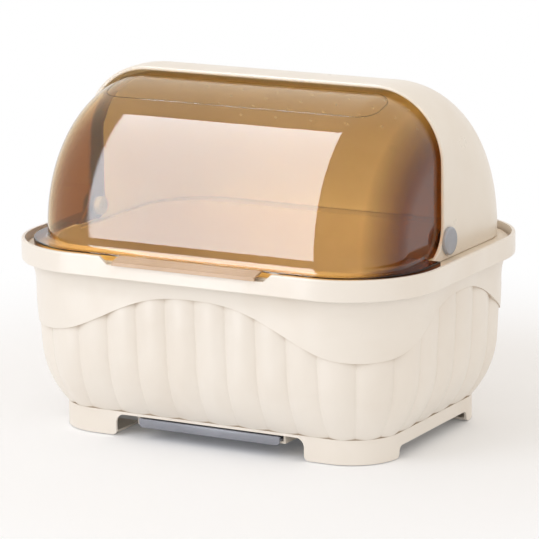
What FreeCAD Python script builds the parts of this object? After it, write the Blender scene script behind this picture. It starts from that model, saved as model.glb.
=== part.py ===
import FreeCAD, Part
import math
import os
import re
import Sketcher
from FreeCAD import Placement, Rotation, Vector

# Covered dish drainer: a fluted tub with a drain basket and racks inside, a two-part cover whose
# clear front half turns up under the rear half, and a drip tray on rails under the floor.
# Millimetres. X runs along the width, -Y is the front, +Z is up.
# The origin is on the floor, under the middle of the tub.

doc = FreeCAD.newDocument("covered_dish_drainer")

SIZES = [
    # tub, seen from outside
    ("rim_width", 460, "outer width of the collar rim"),
    ("rim_depth", 343.2, "outer depth of the collar rim"),
    ("rim_corner", 95, "plan radius of the rim's corners"),
    ("rim_top", 195.3, "height of the rim's top edge"),
    ("rim_height", 21.6, "height of the collar band"),
    ("rim_wall", 3.6, "thickness of the collar band"),
    ("rim_edge_round", 1.4, "rounding of the band's edges"),
    ("ledge_drop", 9.3, "depth of the gutter below the rim's top"),
    ("ledge_thickness", 2.5, "thickness of the gutter's floor"),
    ("wall_inset_top", 11.7, "rim face to wall, just under the collar"),
    ("wall_inset_bend", 16.4, "rim face to wall, where it starts to curve in"),
    ("wall_bend_height", 90, "height where the wall starts to curve in"),
    ("wall_inset_foot", 43.1, "rim face to wall, at the top of the skirt"),
    ("tub_wall", 2.4, "thinnest wall of the tub, behind a groove"),
    ("flute_pitch", 36, "nearest spacing of the grooves; a straight wall holds a whole number"),
    ("corner_flutes", 3, "number of flutes round a corner"),
    ("flute_crest_inset", 1.0, "depth of the flutes' crests behind the smooth band"),
    ("flute_groove_inset", 5, "depth of the grooves behind the smooth band"),
    ("flute_foot_inset", 3, "depth of the grooves where they end, at the skirt"),
    ("wave_crest", 157.6, "height of the smooth band's edge at mid wall"),
    ("wave_valley", 109.5, "height of that edge at the corners"),
    ("floor_top", 30, "height of the tub's floor inside"),
    ("floor_thickness", 2.6, "thickness of the tub's floor"),
    ("skirt_top", 25.9, "height where flutes end and the skirt starts"),
    ("skirt_inset", 44, "rim face to skirt"),
    ("skirt_wall", 2.6, "thickness of the skirt"),
    ("skirt_shelf", 2, "width of the shelf inside the skirt's top"),
    ("skirt_bottom", 0.8, "height of the skirt's lower edge"),
    ("front_arch_half", 107.3, "half width of the arches at front and back"),
    ("front_arch_top", 23.1, "top of the arches at front and back"),
    ("front_arch_round", 9, "rounding of those arches' upper corners"),
    ("side_arch_half", 75.7, "half width of the arches at the sides"),
    ("side_arch_top", 12.2, "top of the arches at the sides"),
    ("side_arch_round", 6, "rounding of those arches' upper corners"),
    ("foot_toe_round", 5, "rounding of the feet's lower corners"),
    ("sole_thickness", 3, "thickness of the sole inside each foot"),
    ("tab_notch_half", 88, "half width of the rim's notch, at its bottom"),
    ("tab_notch_slope", 10, "run of the notch's sloping ends"),
    ("tab_notch_depth", 7.8, "depth of the rim's notch"),
    ("floor_slot_width", 6, "width of the drain slots in the tub's floor"),
    ("floor_slot_length", 44, "length of those slots"),
    ("floor_slot_pitch", 22, "spacing of those slots"),
    ("floor_slot_row", 33, "middle of the tub to the middle of a row of those slots"),
    # rubber pads
    ("pad_diameter", 22, "diameter of a foot pad"),
    ("pad_thickness", 2.3, "thickness of a foot pad"),
    ("pad_offset", 24, "middle of the rim's corner to the middle of the pad"),
    # drain basket
    ("seat_gap", 0.3, "clearance where one piece rests on another"),
    ("basket_flange_inset", 8, "rim face to the edge of the basket's flange"),
    ("basket_flange_thickness", 2.5, "thickness of that flange"),
    ("upstand_inset", 34.5, "rim face to the outside of the basket's upstand"),
    ("upstand_wall", 2.5, "thickness of the upstand"),
    ("upstand_top", 195.3, "height of the upstand beside the visor"),
    ("upstand_low", 190.4, "height of the upstand behind the step"),
    ("upstand_step", -50, "place of that step, front to back"),
    ("basket_floor", 42, "height of the underside of the basket's floor"),
    ("basket_floor_thickness", 2.5, "thickness of the basket's floor"),
    ("basket_foot_inset", 46.5, "rim face to basket wall, at its floor"),
    ("basket_wall", 2.2, "wall of the basket"),
    ("basket_slot_width", 7, "width of the drain slots in the basket"),
    ("basket_slot_length", 34, "length of those slots"),
    ("basket_slot_pitch", 24, "spacing of those slots"),
    ("basket_slot_count", 13, "number of slots in a row"),
    ("basket_slot_gap", 14, "distance between the ends of two rows of slots"),
    # hood
    ("hood_inset", 24.4, "rim face to the hood's sides"),
    ("hood_radius", 163.2, "radius of the hood's back, outside"),
    ("hood_axis_y", 1.3, "axis of the hood's curve, front to back"),
    ("hood_axis_z", 196.5, "axis of the hood's curve, height"),
    ("hood_corner", 74.8, "radius of the hood's shoulders, outside"),
    ("hood_wall", 4, "wall of the hood"),
    ("hood_front", -15.4, "place of the hood's front edge"),
    ("hood_toe", -44, "how far forward the hood's toe comes"),
    ("hood_toe_rise", 31, "height over which the toe curves forward"),
    ("hood_toe_tip", 3, "height of the toe's blunt tip"),
    ("hood_edge_round", 1.6, "rounding of the hood's front edge"),
    ("vent_diameter", 3.4, "diameter of a vent hole"),
    ("vent_pitch", 41.5, "spacing of the vent holes in a row"),
    ("vent_rows", 4, "number of rows of vents"),
    ("vent_count", 6, "vents in the lowest row; every second row has one more"),
    ("vent_first_angle", 35, "lowest row of vents, degrees above level"),
    ("vent_angle_step", 5.67, "angle from row to row of vents"),
    # visor and its pivot
    ("pivot_y", -6.6, "pivot, front to back"),
    ("pivot_z", 207.2, "pivot, height"),
    ("visor_gap", 1.7, "least clearance between visor and hood"),
    ("visor_side_gap", 2, "clearance between visor and hood at the sides"),
    ("visor_wall", 2.2, "wall of the visor"),
    ("visor_tail", 13.6, "how far the visor runs back past the pivot"),
    ("visor_ear", 14.5, "radius of the visor's ear below the pivot"),
    ("panel_angle", 74.1, "middle of the visor's oval panel, degrees above level"),
    ("panel_half_length", 154, "half length of that panel"),
    ("panel_half_width", 27, "half width of that panel, round the visor"),
    ("panel_corner", 22, "rounding of that panel's corners"),
    ("panel_depth", 0.8, "depth to which that panel is set in"),
    ("flange_inset", 12.5, "rim face to the edge of the visor's flange"),
    ("flange_top", 195.6, "height of the top of that flange"),
    ("flange_thickness", 2, "thickness of that flange"),
    ("flange_end", -48, "where the flange ends at the sides"),
    ("tab_half", 80, "half width of the pull tab"),
    ("tab_reach", 3.4, "how far the pull tab stands out past the rim"),
    ("tab_drop", 3.6, "drop of the pull tab from flange to lip"),
    ("tab_lip", 4, "height of the pull tab's lip"),
    ("pin_diameter", 10, "shank of a pivot pin"),
    ("pin_clearance", 0.05, "radial clearance of the shank in its holes"),
    ("button_diameter", 28, "head of a pivot pin"),
    ("button_thickness", 3.5, "thickness of that head"),
    ("button_round", 1.2, "rounding of that head's edge"),
    ("pin_chamfer", 0.8, "chamfer of a pin's inner end"),
    ("retainer_diameter", 19, "outside of a pin's retainer cap"),
    ("retainer_length", 7, "length of a retainer cap"),
    ("retainer_gap", 0.5, "clearance between a retainer cap and the visor"),
    ("retainer_end", 1.7, "thickness of a retainer cap's closed end"),
    ("retainer_chamfer", 1.5, "chamfer of that end"),
    ("retainer_play", 0.3, "room in a retainer cap beyond the pin's end"),
    ("boss_diameter", 24, "spacer boss round the visor's pivot hole"),
    # drip tray and rails
    ("tray_half", 72, "half width of the tray's trough"),
    ("tray_face_half", 80.5, "half width of the tray's front"),
    ("tray_bottom", 12.5, "height of the tray's underside"),
    ("tray_top", 21.6, "height of the top of its front"),
    ("tray_wall", 2, "wall of the tray"),
    ("tray_front", -128.6, "place of the tray's front face"),
    ("tray_length", 232, "length of the tray, front to back"),
    ("tray_corner", 5, "rounding of the front's lower corners"),
    ("runner_reach", 7.5, "how far the tray's side runners stand out"),
    ("runner_thickness", 2, "thickness of those runners"),
    ("runner_height", 16.3, "height of the underside of the runners"),
    ("rail_gap", 1.5, "clearance beside the tray's front"),
    ("rail_wall", 2.2, "wall of a rail"),
    ("rail_flange", 17, "width of a rail's fixing flange"),
    ("rail_lip", 8.5, "width of the lip that carries the runner"),
    ("screw_diameter", 3.5, "shank of a rail screw"),
    ("screw_head", 7, "head of a rail screw"),
    ("screw_head_height", 2, "height of that head"),
    ("screw_length", 8, "length of a rail screw's shank"),
    ("screw_spacing", 150, "spacing of the screws along a rail"),
    ("screw_boss", 9, "outside of the boss that takes a screw"),
    # racks
    ("rack_gap", 13.3, "clearance between the racks and the basket's sides"),
    ("rack_bar", 5, "height of a rack's frame"),
    ("rack_rail", 7, "width of a rack's frame"),
    ("rack_gap_ends", 30.9, "clearance between the racks and the basket, front and back"),
    ("rack_split", 8, "clearance between the two racks"),
    ("plate_pitch", 13.5, "spacing of the plate slots"),
    ("finger_margin", 5, "least distance from a rack's end to the middle of its outer finger"),
    ("finger_thickness", 3.4, "thickness of a plate finger"),
    ("finger_depth", 10, "depth of a plate finger, front to back"),
    ("finger_height", 68, "height of a plate finger"),
    ("finger_row", 56, "rows of fingers, from the middle"),
    ("bowl_bar", 5, "width of a bar of the bowl rack"),
    ("bowl_bars", 7, "number of bars between the sides of its frame"),
    ("peg_diameter", 8, "diameter of a bowl peg"),
    ("peg_height", 42, "height of a bowl peg"),
    ("peg_pitch_y", 60, "spacing of the pegs, front to back"),
]

# Places and sizes that follow from the driving sizes.
FOLLOWS = {
    "ledge_top": "rim_top - ledge_drop",
    "rim_bottom": "rim_top - rim_height",
    "tub_opening_inset": "wall_inset_top + flute_groove_inset + tub_wall",
    "wave_reach_front": "rim_width / 2 - rim_corner",
    "wave_reach_side": "rim_depth / 2 - 0.7 * rim_corner",
    "floor_bottom": "floor_top - floor_thickness",
    "basket_seat": "ledge_top + seat_gap",
    "basket_rim": "basket_seat + basket_flange_thickness",
    "basket_inside": "basket_floor + basket_floor_thickness",
    "cover_seat": "basket_rim + seat_gap",
    "hood_half_width": "rim_width / 2 - hood_inset",
    "axis_offset": "sqrt((pivot_y - hood_axis_y)^2 + (pivot_z - hood_axis_z)^2)",
    "visor_radius": "hood_radius - hood_wall - visor_gap - axis_offset",
    "visor_half_width": "hood_half_width - hood_wall - visor_side_gap",
    "visor_corner": "hood_corner - hood_wall - visor_side_gap",
    "rack_base": "basket_inside + seat_gap",
    "rack_side": "rim_width / 2 - basket_foot_inset - basket_wall - rack_gap",
    "rack_depth_half": "rim_depth / 2 - basket_foot_inset - basket_wall - rack_gap_ends",
    "rail_inner": "tray_face_half + rail_gap",
    "rail_shelf": "runner_height - seat_gap",
    "rail_web": "rail_inner + rail_wall",
    "screw_x": "rail_web + rail_flange / 2",
    "tray_back": "tray_front + tray_length",
    "rail_front": "skirt_inset + skirt_wall + skirt_shelf + seat_gap - rim_depth / 2",
    "rail_end": "tray_back + seat_gap + rail_wall",
    "foot_x": "rim_width / 2 - rim_corner + pad_offset",
    "foot_y": "rim_depth / 2 - rim_corner + pad_offset",
    "bore_radius": "pin_diameter / 2 + pin_clearance",
    "retainer_face": "visor_half_width - visor_wall - retainer_gap",
    "rack_middle": "(rack_side + rack_split / 2) / 2",
    "rack_half_width": "(rack_side - rack_split / 2) / 2",
    "plate_count": "floor((2 * rack_half_width - 2 * finger_margin) / plate_pitch) + 1",
    "bowl_pitch": "(2 * rack_half_width - rack_rail) / (bowl_bars + 1)",
}

sheet = doc.addObject("Spreadsheet::Sheet", "Sizes")
for row, (alias, number, note) in enumerate(SIZES, start=1):
    sheet.set("A%d" % row, alias)
    sheet.set("B%d" % row, str(number))
    sheet.setAlias("B%d" % row, alias)
    sheet.set("C%d" % row, note)
doc.recompute()
CELLS = {alias for alias, number, note in SIZES}


def bound(formula):
    """The formula with each size replaced by its cell, ready for setExpression."""
    def swap(match):
        word = match.group()
        if word in CELLS:
            return "Sizes." + word
        if word in FOLLOWS:
            return "(" + bound(FOLLOWS[word]) + ")"
        return word
    return re.sub(r"[a-z_]+[a-z0-9_]*", swap, str(formula))


def mm(formula):
    """The formula's value in millimetres."""
    return float(sheet.evalExpression(bound(formula)))


def neg(formula):
    return "-(%s)" % formula


# Sketches. A profile is a list of corners (x, y); a corner (x, y, radius, turn) starts an arc
# of that radius to the next corner, which turns left (+1) or right (-1).
def draw(sketch, profile):
    start = sketch.GeometryCount
    count = len(profile)
    corners = [Vector(mm(node[0]), mm(node[1]), 0) for node in profile]
    ends = []
    for k, node in enumerate(profile):
        a, b = corners[k], corners[(k + 1) % count]
        if len(node) == 2:
            sketch.addGeometry(Part.LineSegment(a, b), False)
            ends.append((1, 2))
            continue
        radius = mm(node[2])
        turn = node[3]
        chord = b - a
        rise = math.sqrt(max(radius ** 2 - (chord.Length / 2) ** 2, 0))
        normal = Vector(-chord.y, chord.x, 0).normalize()
        centre = (a + b) * 0.5 + normal * (rise * turn)
        first, last = (a, b) if turn > 0 else (b, a)
        angle_first = math.atan2(first.y - centre.y, first.x - centre.x)
        angle_last = math.atan2(last.y - centre.y, last.x - centre.x)
        circle = Part.Circle(centre, Vector(0, 0, 1), radius)
        sketch.addGeometry(Part.ArcOfCircle(circle, angle_first, angle_last), False)
        ends.append((1, 2) if turn > 0 else (2, 1))
    rules = []
    formulas = []
    for k, node in enumerate(profile):
        edge = start + k
        following = start + (k + 1) % count
        rules.append(Sketcher.Constraint("Coincident", edge, ends[k][1], following, ends[(k + 1) % count][0]))
        formulas.append(None)
        rules.append(Sketcher.Constraint("DistanceX", -1, 1, edge, ends[k][0], corners[k].x))
        formulas.append(node[0])
        rules.append(Sketcher.Constraint("DistanceY", -1, 1, edge, ends[k][0], corners[k].y))
        formulas.append(node[1])
        if len(node) > 2:
            rules.append(Sketcher.Constraint("Radius", edge, mm(node[2])))
            formulas.append(node[2])
    first_rule = sketch.ConstraintCount
    sketch.addConstraint(rules)
    for k, formula in enumerate(formulas):
        if formula is not None:
            sketch.setExpression("Constraints[%d]" % (first_rule + k), bound(formula))


def draw_circle(sketch, x, y, radius):
    edge = sketch.addGeometry(Part.Circle(Vector(mm(x), mm(y), 0), Vector(0, 0, 1), mm(radius)), False)
    first = sketch.ConstraintCount
    sketch.addConstraint([
        Sketcher.Constraint("DistanceX", -1, 1, edge, 3, mm(x)),
        Sketcher.Constraint("DistanceY", -1, 1, edge, 3, mm(y)),
        Sketcher.Constraint("Radius", edge, mm(radius)),
    ])
    for k, formula in enumerate((x, y, radius)):
        sketch.setExpression("Constraints[%d]" % (first + k), bound(formula))


def body(label):
    made = doc.addObject("PartDesign::Body", label)
    made.Label = label
    return made


def sketch_in(owner, plane, lift, *profiles):
    """A sketch in the body on its own origin plane, moved along the plane's normal by lift."""
    sketch = owner.newObject("Sketcher::SketchObject", owner.Name + "_sketch")
    face = next(item for item in owner.Origin.OriginFeatures if item.Role == plane)
    sketch.AttachmentSupport = (face, [""])
    sketch.MapMode = "FlatFace"
    sketch.setExpression("AttachmentOffset.Base.z", bound(lift))
    for profile in profiles:
        if profile[0] == "circle":
            draw_circle(sketch, *profile[1:])
        else:
            draw(sketch, profile)
    return sketch


def feature(owner, kind, sketch, **bindings):
    made = owner.newObject("PartDesign::" + kind, owner.Name + "_" + kind.lower())
    made.Profile = sketch
    for name, value in bindings.items():
        if isinstance(value, str) and name in ("Length", "Angle"):
            made.setExpression(name, bound(value))
        else:
            setattr(made, name, value)
    sketch.Visibility = False
    doc.recompute()
    return made


def pad(owner, plane, lift, length, *profiles, **more):
    return feature(owner, "Pad", sketch_in(owner, plane, lift, *profiles), Length=length, **more)


def pocket_through(owner, plane, lift, *profiles, **more):
    return feature(owner, "Pocket", sketch_in(owner, plane, lift, *profiles), Type=1, Midplane=True, **more)


def spin(owner, kind, profile):
    """A turned shape: the profile is drawn beside the body's X axis and turned right round it."""
    sketch = sketch_in(owner, "XY_Plane", "0", profile)
    made = feature(owner, kind, sketch, ReferenceAxis=(sketch, ["H_Axis"]), Angle=360.0)
    return made


def row_of(owner, source, axis, pitch, count):
    """Copies of a feature at an even pitch along one of the body's own axes."""
    made = owner.newObject("PartDesign::LinearPattern", owner.Name + "_row")
    made.Originals = [source]
    line = next(item for item in owner.Origin.OriginFeatures if item.Role == axis)
    made.Direction = (line, [""])
    made.setExpression("Length", bound("(%s) * ((%s) - 1)" % (pitch, count)))
    made.setExpression("Occurrences", bound(count))
    owner.Tip = made
    doc.recompute()
    return made


def round_rectangle(half_x, half_y, radius, y=None):
    """Corners of a rounded rectangle about the middle, or about the given y."""
    y = y or "0"
    across, deep = "(%s) - (%s)" % (half_x, radius), "(%s) - (%s)" % (half_y, radius)
    return [
        (half_x, "%s - (%s)" % (y, deep)),
        (half_x, "%s + %s" % (y, deep), radius, 1),
        (across, "%s + (%s)" % (y, half_y)),
        (neg(across), "%s + (%s)" % (y, half_y), radius, 1),
        (neg(half_x), "%s + %s" % (y, deep)),
        (neg(half_x), "%s - (%s)" % (y, deep), radius, 1),
        (neg(across), "%s - (%s)" % (y, half_y)),
        (across, "%s - (%s)" % (y, half_y), radius, 1),
    ]


def rim_outline(inset):
    """The rim's plan, drawn in by the inset; its corners stay concentric."""
    return round_rectangle(
        "rim_width / 2 - (%s)" % inset, "rim_depth / 2 - (%s)" % inset, "rim_corner - (%s)" % inset)


def rectangle(x0, y0, x1, y1):
    return [(x0, y0), (x1, y0), (x1, y1), (x0, y1)]


def joined(label, *pieces):
    made = doc.addObject("Part::MultiFuse", label)
    made.Label = label
    made.Shapes = list(pieces)
    for piece in pieces:
        piece.Visibility = False
    return made


def cut(label, base, *tools):
    tool = tools[0]
    if len(tools) > 1:
        tool = doc.addObject("Part::Compound", label + "_tools")
        tool.Links = list(tools)
    made = doc.addObject("Part::Cut", label)
    made.Label = label
    made.Base = base
    made.Tool = tool
    base.Visibility = tool.Visibility = False
    return made


def cylinder(label, radius, height, x, y, z, turn=None):
    made = doc.addObject("Part::Cylinder", label)
    made.setExpression("Radius", bound(radius))
    made.setExpression("Height", bound(height))
    made.Placement = Placement(Vector(0, 0, 0), turn or Rotation())
    for axis, formula in (("x", x), ("y", y), ("z", z)):
        made.setExpression("Placement.Base." + axis, bound(formula))
    return made


ALONG_X = Rotation(Vector(0, 1, 0), 90)
SIDES = (("left", -1), ("right", 1))


# Tub. Its wall is a loft through outlines that follow the rim's plan; each outline of the fluted
# part is a ring of bulging arcs from groove to groove.
def wall_inset(z):
    """Distance from the rim's face in to the smooth wall: a drafted line, then an arc at the foot."""
    bend, foot = mm("wall_bend_height"), mm("skirt_top")
    top = mm("ledge_top")
    inset_top, inset_bend, inset_foot = mm("wall_inset_top"), mm("wall_inset_bend"), mm("wall_inset_foot")
    slope = (inset_bend - inset_top) / (top - bend)
    if z >= bend:
        return inset_top + slope * (top - z)
    lean = math.atan(slope)
    chord = math.hypot(inset_foot - inset_bend, bend - foot)
    chord_lean = math.atan((inset_foot - inset_bend) / (bend - foot))
    radius = chord / 2 / math.sin(chord_lean - lean)
    centre_inset = inset_bend + radius * math.cos(lean)
    centre_z = bend + radius * math.sin(lean)
    return centre_inset - math.sqrt(radius ** 2 - (centre_z - z) ** 2)


def plan_points(inset):
    """Half sizes and corner radius of the rim's plan, drawn in by the inset."""
    return mm("rim_width") / 2 - inset, mm("rim_depth") / 2 - inset, mm("rim_corner") - inset


def smooth_wire(inset, z):
    half_x, half_y, radius = plan_points(inset)
    edges = []
    for quarter in range(4):
        turn = Rotation(Vector(0, 0, 1), 90 * quarter)
        a, b = (half_x, half_y) if quarter % 2 == 0 else (half_y, half_x)
        straight = [Vector(a, -(b - radius), z), Vector(a, b - radius, z)]
        middle = Vector(a - radius * (1 - math.sqrt(0.5)), b - radius * (1 - math.sqrt(0.5)), z)
        corner = [Vector(a, b - radius, z), middle, Vector(a - radius, b, z)]
        edges.append(Part.LineSegment(*[turn.multVec(p) for p in straight]).toShape())
        edges.append(Part.Arc(*[turn.multVec(p) for p in corner]).toShape())
    return Part.Wire(edges)


def groove_depth(z):
    """Full depth on the upright wall, easing off below it to the depth at the skirt."""
    foot, bend = mm("skirt_top"), mm("wall_bend_height")
    below = max(bend - z, 0) / (bend - foot)
    return mm("flute_groove_inset") + (mm("flute_foot_inset") - mm("flute_groove_inset")) * below ** 2


def flute_stations():
    """Grooves of one quarter: places along the front wall, angles in the corner, places up the side."""
    front_end = mm("rim_width / 2 - rim_corner")
    side_end = mm("rim_depth / 2 - rim_corner")
    front_count = max(round(front_end / mm("flute_pitch")), 1)
    side_count = max(round(side_end / mm("flute_pitch")), 1)
    corner_count = int(mm("corner_flutes"))
    front = [front_end * k / front_count for k in range(front_count + 1)]
    corner = [90 * k / corner_count for k in range(corner_count + 1)]
    side = [side_end * k / side_count for k in range(side_count, -1, -1)]
    return front, corner, side


def fluted_wire(inset, z):
    """The outline at one height: arcs from groove to groove, round the whole plan."""
    groove_x, groove_y, groove_r = plan_points(inset + groove_depth(z))
    crest_x, crest_y, crest_r = plan_points(inset + mm("flute_crest_inset"))
    front, corner, side = flute_stations()
    centre = Vector(groove_x - groove_r, -(groove_y - groove_r), z)

    def on_corner(angle, radius):
        return centre + Vector(radius * math.sin(math.radians(angle)), -radius * math.cos(math.radians(angle)), 0)

    grooves = [Vector(x, -groove_y, z) for x in front]
    crests = [Vector((a + b) / 2, -crest_y, z) for a, b in zip(front, front[1:])]
    grooves.extend(on_corner(angle, groove_r) for angle in corner[1:-1])
    crests.extend(on_corner((a + b) / 2, crest_r) for a, b in zip(corner, corner[1:]))
    grooves.extend(Vector(groove_x, -y, z) for y in side)
    crests.extend(Vector(crest_x, -(a + b) / 2, z) for a, b in zip(side, side[1:]))
    # one quarter runs from the middle of the front to the middle of the side; the rest mirrors it
    arcs = list(zip(grooves, crests, grooves[1:]))
    half = arcs + [tuple(Vector(p.x, -p.y, p.z) for p in arc[::-1]) for arc in arcs[::-1]]
    ring = half + [tuple(Vector(-p.x, p.y, p.z) for p in arc[::-1]) for arc in half[::-1]]
    return Part.Wire([Part.Arc(*arc).toShape() for arc in ring])


def prism(wire, height):
    return Part.Face(wire).extrude(Vector(0, 0, height))


def block(x0, y0, z0, x1, y1, z1):
    return Part.makeBox(x1 - x0, y1 - y0, z1 - z0, Vector(x0, y0, z0))


def wave_prism(half_span, reach, across, turn):
    """Everything above the wavy edge of the smooth band, as seen square to one wall."""
    crest, valley = mm("wave_crest"), mm("wave_valley")
    rise = crest - valley
    shape = [(0, 0), (0.25, 0.04), (0.5, 0.22), (0.75, 0.53), (1.0, 0.84), (1.15, 0.95), (1.3, 0.99), (1.45, 1.0)]
    right = [Vector(reach * u, 0, crest - rise * fall) for u, fall in shape]
    points = [Vector(-p.x, 0, p.z) for p in right[:0:-1]] + right
    curve = Part.BSplineCurve()
    curve.interpolate(points)
    top = mm("rim_top")
    left_end, right_end = points[0], points[-1]
    corners = [right_end, Vector(half_span, 0, right_end.z), Vector(half_span, 0, top),
               Vector(-half_span, 0, top), Vector(-half_span, 0, left_end.z), left_end]
    edges = [curve.toShape()]
    edges += [Part.LineSegment(a, b).toShape() for a, b in zip(corners, corners[1:])]
    solid = Part.Face(Part.Wire(edges)).extrude(Vector(0, 2 * across, 0))
    solid.translate(Vector(0, -across, 0))
    solid.rotate(Vector(0, 0, 0), Vector(0, 0, 1), turn)
    return solid


def arch_cutter(half, top, corner, toe, across, turn):
    """The opening between two feet: round upper corners, and feet whose toes are rounded."""
    low = mm("skirt_bottom") - 1
    base = mm("skirt_bottom")
    k = 1 - math.sqrt(0.5)
    path = []
    for side in (-1, 1):
        outer = [
            (Vector(side * (half + toe), 0, base), Vector(side * (half + toe * k), 0, base + toe * k),
             Vector(side * half, 0, base + toe)),
            (Vector(side * half, 0, top - corner), Vector(side * (half - corner * k), 0, top - corner * k),
             Vector(side * (half - corner), 0, top)),
        ]
        path.append(outer)
    left, right = path
    run = [Part.Arc(*left[0]).toShape(),
           Part.LineSegment(left[0][2], left[1][0]).toShape(),
           Part.Arc(*left[1]).toShape(),
           Part.LineSegment(left[1][2], right[1][2]).toShape(),
           Part.Arc(*right[1][::-1]).toShape(),
           Part.LineSegment(right[1][0], right[0][2]).toShape(),
           Part.Arc(*right[0][::-1]).toShape()]
    under = [right[0][0], Vector(half + toe, 0, low), Vector(-half - toe, 0, low), left[0][0]]
    run += [Part.LineSegment(a, b).toShape() for a, b in zip(under, under[1:])]
    solid = Part.Face(Part.Wire(run)).extrude(Vector(0, 2 * across, 0))
    solid.translate(Vector(0, -across, 0))
    solid.rotate(Vector(0, 0, 0), Vector(0, 0, 1), turn)
    return solid


def tub_shape():
    width, depth = mm("rim_width"), mm("rim_depth")
    rim_top, rim_bottom, ledge_top = mm("rim_top"), mm("rim_bottom"), mm("ledge_top")
    ledge_bottom = ledge_top - mm("ledge_thickness")
    skirt_top, skirt_bottom = mm("skirt_top"), mm("skirt_bottom")
    floor_top, floor_bottom = mm("floor_top"), mm("floor_bottom")
    bend = mm("wall_bend_height")
    thick = mm("flute_groove_inset") + mm("tub_wall")

    levels = [skirt_top + (bend - skirt_top) * step / 6 for step in range(7)]
    levels += [bend + (ledge_bottom - bend) * step / 4 for step in range(1, 5)]
    fluted = Part.makeLoft([fluted_wire(wall_inset(z), z) for z in levels], True, False)
    smooth = Part.makeLoft([smooth_wire(wall_inset(z), z) for z in levels], True, False)
    band = smooth.common(wave_prism(width, mm("wave_reach_front"), depth, 0))
    band = band.common(wave_prism(depth, mm("wave_reach_side"), width, 90))

    collar = prism(smooth_wire(0, rim_bottom), rim_top - rim_bottom)
    edges = [edge for edge in collar.Edges if abs(edge.BoundBox.ZLength) < 1e-6]
    collar = collar.makeFillet(mm("rim_edge_round"), edges)
    inner = mm("rim_wall")
    collar = collar.cut(prism(smooth_wire(inner, rim_bottom - 1), ledge_bottom - rim_bottom + 1))
    collar = collar.cut(prism(smooth_wire(inner, ledge_top), rim_top - ledge_top + 1))

    skirt = prism(smooth_wire(mm("skirt_inset"), skirt_bottom), skirt_top - skirt_bottom)
    hollow = prism(smooth_wire(mm("skirt_inset + skirt_wall"), skirt_bottom),
                   skirt_top - mm("skirt_shelf") - skirt_bottom)
    sole = hollow.common(block(-width, -depth, skirt_bottom, width, depth, skirt_bottom + mm("sole_thickness")))
    arch_x, arch_y = mm("front_arch_half + skirt_wall"), mm("side_arch_half + skirt_wall")
    sole = sole.cut(block(-arch_x, -depth, 0, arch_x, depth, floor_top))
    sole = sole.cut(block(-width, -arch_y, 0, width, arch_y, floor_top))
    skirt = skirt.cut(hollow).fuse(sole)
    toe = mm("foot_toe_round")
    skirt = skirt.cut(arch_cutter(mm("front_arch_half"), mm("front_arch_top"), mm("front_arch_round"), toe, depth, 0))
    skirt = skirt.cut(arch_cutter(mm("side_arch_half"), mm("side_arch_top"), mm("side_arch_round"), toe, width, 90))
    floor = prism(smooth_wire(wall_inset(floor_bottom) + thick / 2, floor_bottom), floor_top - floor_bottom)

    cavity_levels = [floor_top + (bend - floor_top) * step / 4 for step in range(5)]
    cavity_levels += [bend + (ledge_bottom - bend) * step / 2 for step in range(1, 3)]
    cavity = Part.makeLoft([smooth_wire(wall_inset(z) + thick, z) for z in cavity_levels], True, False)
    mouth = prism(smooth_wire(mm("tub_opening_inset"), ledge_bottom), rim_top - ledge_bottom + 1)

    body_shape = fluted.multiFuse([band, collar])
    underside = prism(smooth_wire(mm("skirt_inset + skirt_wall + skirt_shelf"), 0), floor_bottom)
    underside = underside.cut(block(-width, -depth, 0, width, depth, skirt_bottom + mm("sole_thickness")))
    body_shape = body_shape.cut(cavity).cut(mouth).multiFuse([skirt, floor]).cut(underside)

    # bosses on the floor take the rail screws
    screw_x, spacing = mm("screw_x"), mm("screw_spacing")
    screw_places = [(x, y) for x in (-screw_x, screw_x) for y in (-spacing / 2, spacing / 2)]
    deep = mm("screw_length")
    for x, y in screw_places:
        boss = Part.makeCylinder(mm("screw_boss") / 2, deep, Vector(x, y, floor_bottom + 0.5))
        body_shape = body_shape.fuse(boss)
    for x, y in screw_places:
        hole = Part.makeCylinder(mm("screw_diameter") / 2 + mm("pin_clearance"), deep - 1,
                                 Vector(x, y, floor_bottom - 1))
        body_shape = body_shape.cut(hole)

    # recesses for the rubber pads
    for x in (-mm("foot_x"), mm("foot_x")):
        for y in (-mm("foot_y"), mm("foot_y")):
            deep_pad = mm("pad_thickness") - skirt_bottom
            recess = Part.makeCylinder(mm("pad_diameter / 2 + seat_gap"), deep_pad + 1, Vector(x, y, skirt_bottom - 1))
            body_shape = body_shape.cut(recess)

    # drain slots over the tray
    pitch, slot_half = mm("floor_slot_pitch"), mm("floor_slot_width") / 2
    length, row = mm("floor_slot_length"), mm("floor_slot_row")
    per_side = int(mm("tray_half - 2 * floor_slot_width") / pitch)
    for k in range(-per_side, per_side + 1):
        for y in (-row, row):
            slot = block(k * pitch - slot_half, y - length / 2, floor_bottom - 1,
                         k * pitch + slot_half, y + length / 2, floor_top + 1)
            body_shape = body_shape.cut(slot)

    # notch in the front of the rim for the visor's pull tab
    half, slope, drop = mm("tab_notch_half"), mm("tab_notch_slope"), mm("tab_notch_depth")
    front = -depth / 2 - 1
    outline = [Vector(-half, front, rim_top - drop), Vector(half, front, rim_top - drop),
               Vector(half + slope, front, rim_top + 1), Vector(-half - slope, front, rim_top + 1)]
    notch = Part.Face(Part.makePolygon(outline + outline[:1])).extrude(Vector(0, inner + 2, 0))
    return body_shape.cut(notch).removeSplitter()


tub = doc.addObject("Part::Feature", "tub")
tub.Label = "tub"
tub.Shape = tub_shape()
tub.Placement = Placement()


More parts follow.
